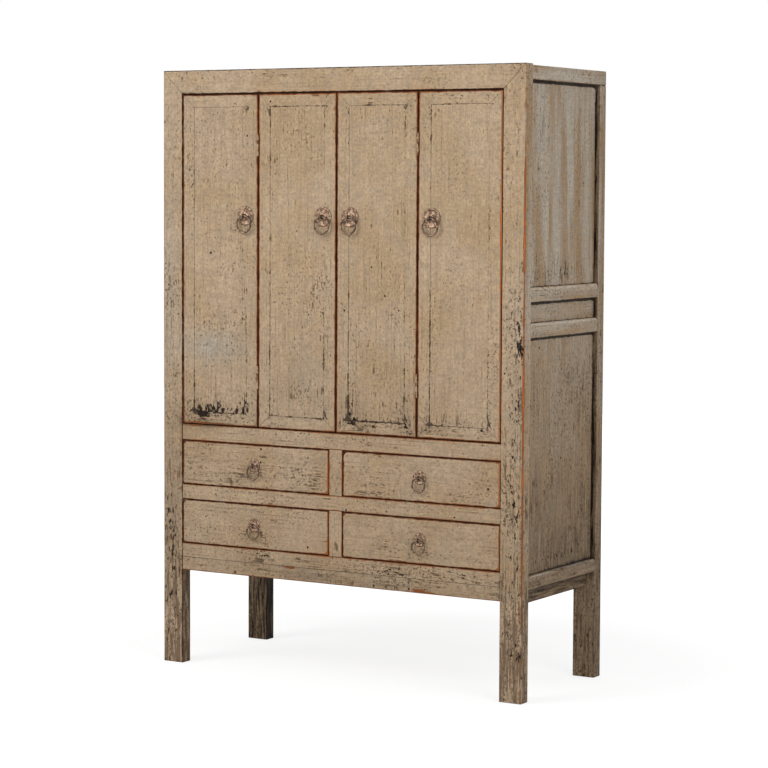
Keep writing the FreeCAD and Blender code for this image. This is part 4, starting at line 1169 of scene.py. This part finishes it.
class CABINET_OT_posts(bpy.types.Operator):
    """Make the four posts, which run down into the legs"""

    bl_idname = "cabinet.posts"
    bl_label = "Posts"

    def execute(self, context):
        sizes = context.scene.cabinet_sizes
        rail_low, rail_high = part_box("front_top_rail")
        head = rail_high.z - rail_low.z
        for side, sign in SIDES:
            outward, inward = sign * RIGHT, -sign * RIGHT
            node = f"front_{side}_post"
            low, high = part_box(node)
            outer, inner = (low.x, high.x) if sign < 0 else (high.x, low.x)
            # Only the left post is dirty beside the doors
            inner_edge = opened(low, high, outward, BEHIND, DOWN, UP) if sign < 0 else None
            age = Ageing(
                worn=inner_edge,
                grimed=inner_edge,
                most_worn=opened(low, high, inward, BEHIND, DOWN, UP),
                shown=EVERY_WAY,
                wear=0.17,
                legs=0.58,
                # Their inner and back faces are darker: dirt, and painted shade
                soiled_and_shaded=(inward, BEHIND),
                soil_and_shade=0.12,
                grimy=0.14,
            )
            mitre = mitred(Z, X, outer, inner, 0.0, head, low, high)
            outer_arris = (lying_at({X: outer, Y: low.y}), sizes.post_arris)
            make(node, PAINTED, Board(low, high, Z, age, mitre, (outer_arris,)))

            node = f"back_{side}_post"
            low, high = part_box(node)
            high.z = solids(f"{side}_side_rails")[-1][0].z
            age = Ageing(
                worn=opened(low, high, UP),
                rub=0.6,
                shown=EVERY_WAY,
                wear=0.26,
                legs=0.40,
                # Dirt and painted shade on their inner, back and front faces, most on the left post, which
                # stands deeper in the shade under the cabinet
                soiled_and_shaded=(inward, BEHIND, AHEAD),
                soil_and_shade=0.47 - 0.15 * sign,
            )
            make(node, PAINTED, Board(low, high, Z, age, cuts=((X, sign * PANEL_FACE),)))
        return {"FINISHED"}


class CABINET_OT_front_rails(bpy.types.Operator):
    """Make the rails, the dividers and the apron of the front"""

    bl_idname = "cabinet.front_rails"
    bl_label = "Front rails"

    def execute(self, context):
        node = "front_top_rail"
        low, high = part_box(node)
        head = high.z - low.z
        mitre = mitred(X, Z, high.z, low.z, head, head, low, high)
        worn, grimed = opened(low, high, LEFT, RIGHT, UP), opened(low, high, LEFT, RIGHT)
        age = Ageing(worn=worn, grimed=grimed, shown=(AHEAD, UP), wear=0.10)
        make(node, PAINTED, Board(low, high, X, age, mitre))

        # The bottom rail runs on into the apron, and they are worn as one
        for node, wear, runs_on, shown in (
            ("door_sill_rail", 0.06, (), (AHEAD,)),
            ("drawer_middle_rail", 0.04, (), (AHEAD,)),
            ("front_bottom_rail", 0.12, (DOWN,), (AHEAD,)),
            ("front_apron", 0.16, (UP,), (AHEAD, DOWN)),
        ):
            low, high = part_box(node)
            low.x, high.x = -OPENING, OPENING
            age = Ageing(worn=opened(low, high, LEFT, RIGHT, *runs_on), shown=shown, wear=wear)
            make(node, PAINTED, Board(low, high, X, age))

        node = "drawer_dividers"
        levels = ("front_bottom_rail", "drawer_middle_rail", "door_sill_rail")
        dividers = []
        for under, over in zip(levels, levels[1:]):
            low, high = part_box(node)
            low.z, high.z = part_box(under)[1].z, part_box(over)[0].z
            age = Ageing(worn=opened(low, high, DOWN, UP), shown=(AHEAD,), wear=0.12)
            dividers.append(Board(low, high, Z, age))
        make(node, PAINTED, *dividers)
        return {"FINISHED"}


class CABINET_OT_sides(bpy.types.Operator):
    """Make the rails and panels of both side frames, and the bearers under them"""

    bl_idname = "cabinet.sides"
    bl_label = "Sides"

    def execute(self, context):
        sizes = context.scene.cabinet_sizes
        for side, sign in SIDES:
            shown = (sign * RIGHT, UP, DOWN)
            node = f"{side}_side_rails"
            rails = solids(node)
            boards = []
            for number, (low, high) in enumerate(rails):
                top = number == len(rails) - 1
                low.y = FRONT_BACK
                high.y = BACK_HIGH.y if top else BACK_LOW.y
                face = high.x if sign > 0 else low.x
                upper = sizes.arris if top else sizes.rail_arris if number else sizes.rail_under_arris
                rounds = (
                    (lying_at({X: face, Z: high.z}), upper),
                    (lying_at({X: face, Z: low.z}), sizes.rail_under_arris),
                )
                lower_edge = opened(low, high, AHEAD, BEHIND, UP)
                age = Ageing(
                    worn=lower_edge,
                    rub=0.84,
                    grimed=lower_edge,
                    shown=(*shown, BEHIND),
                    wear=0.16,
                    # Upper edges rubbed pale, with a painted highlight
                    pale=1.6,
                )
                boards.append(Board(low, high, Y, age, rounds=rounds))
            make(node, PAINTED, *boards)

            node = f"{side}_side_panels"
            inset = Vector((0, sizes.side_tongue, sizes.side_tongue))
            boards = []
            for (low, high), over in zip(solids(node), rails[1:]):
                low, high = low + inset, high - inset
                age = Ageing(
                    shown=shown,
                    wear=0.16,
                    # Cracks round the panels, and painted shadow with dirt under each rail
                    seam=opened(low, high, LEFT, RIGHT),
                    crack=1.3,
                    shaded=over[0].z,
                    grimy=0.50,
                )
                tall = high.z - low.z > high.y - low.y
                shares, grain = ((0.31, 0.38, 0.31), Z) if tall else ((1.0,), Y)
                boards += planks(low, high, shares, Y, grain, age)
            make(node, PAINTED, *boards)

        node = "side_bearers"
        # Their sides and undersides are darker: dirt, and painted shade under the side frames
        age = Ageing(shown=EVERY_WAY, wear=0.3, soiled_and_shaded=(LEFT, RIGHT, DOWN), soil_and_shade=0.2)
        boards = [Board(low, high, Y, age) for low, high in solids(node)]
        make(node, ("worn_khaki_paint", "bare_wood"), *boards)
        return {"FINISHED"}


class CABINET_OT_back(bpy.types.Operator):
    """Make the rails and the boarded panels of the back"""

    bl_idname = "cabinet.back"
    bl_label = "Back"

    def execute(self, context):
        node = "back_rails"
        rails = solids(node)
        for low, high in rails[:-1]:
            low.x, high.x = -OPENING, OPENING
        make(node, BARE, *(Board(low, high, X) for low, high in rails))

        node = "back_panels"
        tongue = context.scene.cabinet_sizes.side_tongue
        inset = Vector((tongue, 0, tongue))
        rng = random.Random(node)
        bm = start()
        for low, high in solids(node):
            shares = [rng.uniform(0.8, 1.2) for _ in range(6)]
            for plank in planks(low + inset, high - inset, shares, X, Z):
                add_board(bm, plank, rng)
        place(bm, node, *BARE)
        return {"FINISHED"}


class CABINET_OT_inside(bpy.types.Operator):
    """Make the top boards, the shelf and the floors, and finish the strips under them"""

    bl_idname = "cabinet.inside"
    bl_label = "Top and inside boards"

    def execute(self, context):
        node = "top_boards"
        age = Ageing(shown=(UP,), wear=0.3)
        make(node, PAINTED, *planks(*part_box(node), (1, 1, 1), Y, X, age))
        for node in ("shelf", "compartment_floor", "bottom_board"):
            make(node, BARE, *planks(*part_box(node), (1.2, 0.9, 1.0), Y, X))
        for node in ("ledger_strips", "drawer_runners", "door_stops"):
            refinish(node, "old_softwood_strips")
        return {"FINISHED"}


class CABINET_OT_doors(bpy.types.Operator):
    """Make the mitred frames and the flush panels of the four doors"""

    bl_idname = "cabinet.doors"
    bl_label = "Doors"

    def execute(self, context):
        sizes = context.scene.cabinet_sizes
        plain_low, plain_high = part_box("inner_left_door_frame")
        tongue = Vector((sizes.panel_tongue, 0, sizes.panel_tongue))
        for door in DOORS:
            node = f"{door}_frame"
            low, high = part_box(node)
            pivot_low, pivot_high = low.z, high.z
            low.z, high.z = plain_low.z, plain_high.z
            panel_low, panel_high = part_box(f"{door}_panel")
            field_low, field_high = panel_low + tongue, panel_high - tongue
            stile = field_low.x - low.x - sizes.panel_reveal
            rail = field_low.z - low.z - sizes.panel_reveal
            # The last door is cleaner where it meets its post
            clean = (RIGHT,) if door == DOORS[-1] else ()
            age = Ageing(
                worn=(low, high),
                rub=1.18,
                grimed=opened(low, high, *clean),
                shown=(AHEAD,),
                wear=0.12,
                seam=opened(field_low, field_high, AHEAD, BEHIND),
            )
            bars = []
            for along, across, wide, cut_back in ((Z, X, stile, rail), (X, Z, rail, stile)):
                edges = ((low[across], low[across] + wide), (high[across], high[across] - wide))
                for outer, inner in edges:
                    bar_low, bar_high = low.copy(), high.copy()
                    bar_low[across], bar_high[across] = min(outer, inner), max(outer, inner)
                    mitre = mitred(along, across, outer, inner, cut_back, cut_back, bar_low, bar_high)
                    at_panel = lying_at({across: inner, Y: low.y})
                    rounds = ((at_panel, sizes.panel_arris),)
                    bars.append(Board(bar_low, bar_high, along, age, mitre, rounds))
            bm = joined(node, *bars)
            if pivot_high > high.z:
                joint = next(joint for joint in frame["joints"] if joint["child"] == door)
                for bottom, top in ((pivot_low, low.z), (high.z, pivot_high)):
                    add_pivot(bm, joint, sizes.pivot_radius, bottom, top)
            place(bm, node, *PAINTED)

            plain = replace(age, worn=None, grimed=None)
            panel = Board(field_low, field_high, Z, plain, arris=sizes.panel_arris)
            make(f"{door}_panel", PAINTED, panel)
        return {"FINISHED"}


class CABINET_OT_drawers(bpy.types.Operator):
    """Make the fronts and the boxes of the four drawers"""

    bl_idname = "cabinet.drawers"
    bl_label = "Drawers"

    def execute(self, context):
        sizes = context.scene.cabinet_sizes

        def corner(edge):
            """Edges that run from front to back."""
            first, last = (vert.co for vert in edge.verts)
            return abs(first.y - last.y) > 0.9 * edge.calc_length()

        for drawer in DRAWERS:
            node = f"{drawer}_front"
            low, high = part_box(node)
            front_back = high.y
            # Their right ends are cleaner
            grimed = opened(low, high, RIGHT)
            age = Ageing(worn=(low, high), rub=1.08, grimed=grimed, shown=(AHEAD,), wear=0.06)
            rounds = ((corner, sizes.drawer_corner),)
            make(node, PAINTED, Board(low, high, X, age, rounds=rounds))

            node = f"{drawer}_box"
            low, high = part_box(node)
            thick = sizes.drawer_board
            left, right, back = low.x + thick, high.x - thick, high.y - thick
            floor_z = low.z + sizes.drawer_rise
            floor_top = floor_z + sizes.drawer_floor
            floor = (Vector((left, front_back, floor_z)), Vector((right, high.y, floor_top)))
            make(
                node,
                BARE,
                Board(low, Vector((left, high.y, high.z)), Y),
                Board(Vector((right, low.y, low.z)), high, Y),
                Board(Vector((left, back, floor_top)), Vector((right, high.y, high.z)), X),
                *planks(*floor, (1.0, 1.1, 0.9), Y, X),
            )
        return {"FINISHED"}


class CABINET_OT_pulls(bpy.types.Operator):
    """Make the plates, staples and rings of the eight pulls"""

    bl_idname = "cabinet.pulls"
    bl_label = "Ring pulls"

    def execute(self, context):
        sizes = context.scene.cabinet_sizes
        for owner in DOORS + DRAWERS:
            node = f"{owner}_pull_ring"
            low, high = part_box(node)
            wire = high.y - low.y
            ring_centre = (low + high) / 2
            ring_radius = (high.z - low.z - wire) / 2
            bm = bmesh.new()
            hoop(bm, ring_centre, ring_radius, wire, BEHIND, UP, thin=0.10, least_dark=0.3)
            place(bm, node, *BRONZE, smooth=True)

            node = f"{owner}_pull_mount"
            low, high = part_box(node)
            middle = (low + high) / 2
            eye = Vector((middle.x, ring_centre.y, middle.z))
            eye_radius = eye.y - low.y - sizes.eye_wire / 2
            bm = bmesh.new()
            bm.verts.layers.float.new("rim")
            stamped_plate(bm, Vector((middle.x, FRONT, middle.z)), (high.x - low.x) / 2)
            # The staple is darkened: painted shade of the hole it goes into
            hoop(bm, eye, eye_radius, sizes.eye_wire, RIGHT, BEHIND, steps=40, least_dark=0.8)
            # The staple's shank, and its ends, bent flat against the back of the wood
            tail = Vector((4.0 * MM, 1.6 * MM, 26.0 * MM))
            tail_arris = 0.5 * MM
            tail_at = Vector((eye.x, high.y - tail.y / 2, eye.z))
            shank_start = eye.y + eye_radius
            shank_end = high.y - 1.0 * MM
            shank_at = Vector((eye.x, (shank_start + shank_end) / 2, eye.z))
            stand = Matrix.Translation(shank_at) @ Matrix.Rotation(math.pi / 2, 4, "X")
            rod(bm, sizes.shank_radius, shank_end - shank_start, stand, segments=20)
            part = bmesh.new()
            block(part, tail_at, tail)
            round_over(part, sharp(part), tail_arris, 2)
            append(bm, part)
            place(bm, node, *BRONZE, smooth=True)
        return {"FINISHED"}


class CABINET_OT_hinges(bpy.types.Operator):
    """Give the fold hinges their painted brass"""

    bl_idname = "cabinet.hinges"
    bl_label = "Fold hinges"

    def execute(self, context):
        for side, _ in SIDES:
            for leaf in ("outer", "inner"):
                refinish(f"{side}_fold_hinge_{leaf}_leaves", "painted_brass")
        return {"FINISHED"}


class CABINET_OT_stage(bpy.types.Operator):
    """Set up the pale floor, the soft studio light and the camera"""

    bl_idname = "cabinet.stage"
    bl_label = "Stage"

    def execute(self, context):
        context.scene.view_settings.view_transform = "Standard"
        lay_floor()
        light_studio()
        lamp("key_lamp", (-2.2, -3.8, 3.2), power=105.0)
        lamp("fill_lamp", (4.2, -2.2, 2.6), power=75.0)
        set_camera()
        return {"FINISHED"}


STEPS = (
    CABINET_OT_finishes,
    CABINET_OT_posts,
    CABINET_OT_front_rails,
    CABINET_OT_sides,
    CABINET_OT_back,
    CABINET_OT_inside,
    CABINET_OT_doors,
    CABINET_OT_drawers,
    CABINET_OT_pulls,
    CABINET_OT_hinges,
    CABINET_OT_stage,
)


class CABINET_PT_panel(bpy.types.Panel):
    """The cabinet's steps, sizes and colours"""

    bl_idname = "CABINET_PT_panel"
    bl_label = "Cabinet"
    bl_space_type = "VIEW_3D"
    bl_region_type = "UI"
    bl_category = "Cabinet"

    def draw(self, context):
        for step in STEPS:
            self.layout.operator(step.bl_idname)
        for group in (context.scene.cabinet_sizes, context.scene.cabinet_colours):
            box = self.layout.box()
            for name in group.__annotations__:
                box.prop(group, name)


CLASSES = (CabinetSizes, CabinetColours, *STEPS, CABINET_PT_panel)


def register():
    """Add the cabinet's classes and settings to Blender."""
    for item in CLASSES:
        bpy.utils.register_class(item)
    bpy.types.Scene.cabinet_sizes = bpy.props.PointerProperty(type=CabinetSizes)
    bpy.types.Scene.cabinet_colours = bpy.props.PointerProperty(type=CabinetColours)


def unregister():
    """Take them out again."""
    del bpy.types.Scene.cabinet_colours
    del bpy.types.Scene.cabinet_sizes
    for item in reversed(CLASSES):
        bpy.utils.unregister_class(item)


def main():
    """Make every piece in order."""
    register()
    bpy.ops.cabinet.finishes()
    bpy.ops.cabinet.posts()
    bpy.ops.cabinet.front_rails()
    bpy.ops.cabinet.sides()
    bpy.ops.cabinet.back()
    bpy.ops.cabinet.inside()
    bpy.ops.cabinet.doors()
    bpy.ops.cabinet.drawers()
    bpy.ops.cabinet.pulls()
    bpy.ops.cabinet.hinges()
    bpy.ops.cabinet.stage()


if __name__ == "__main__":
    main()
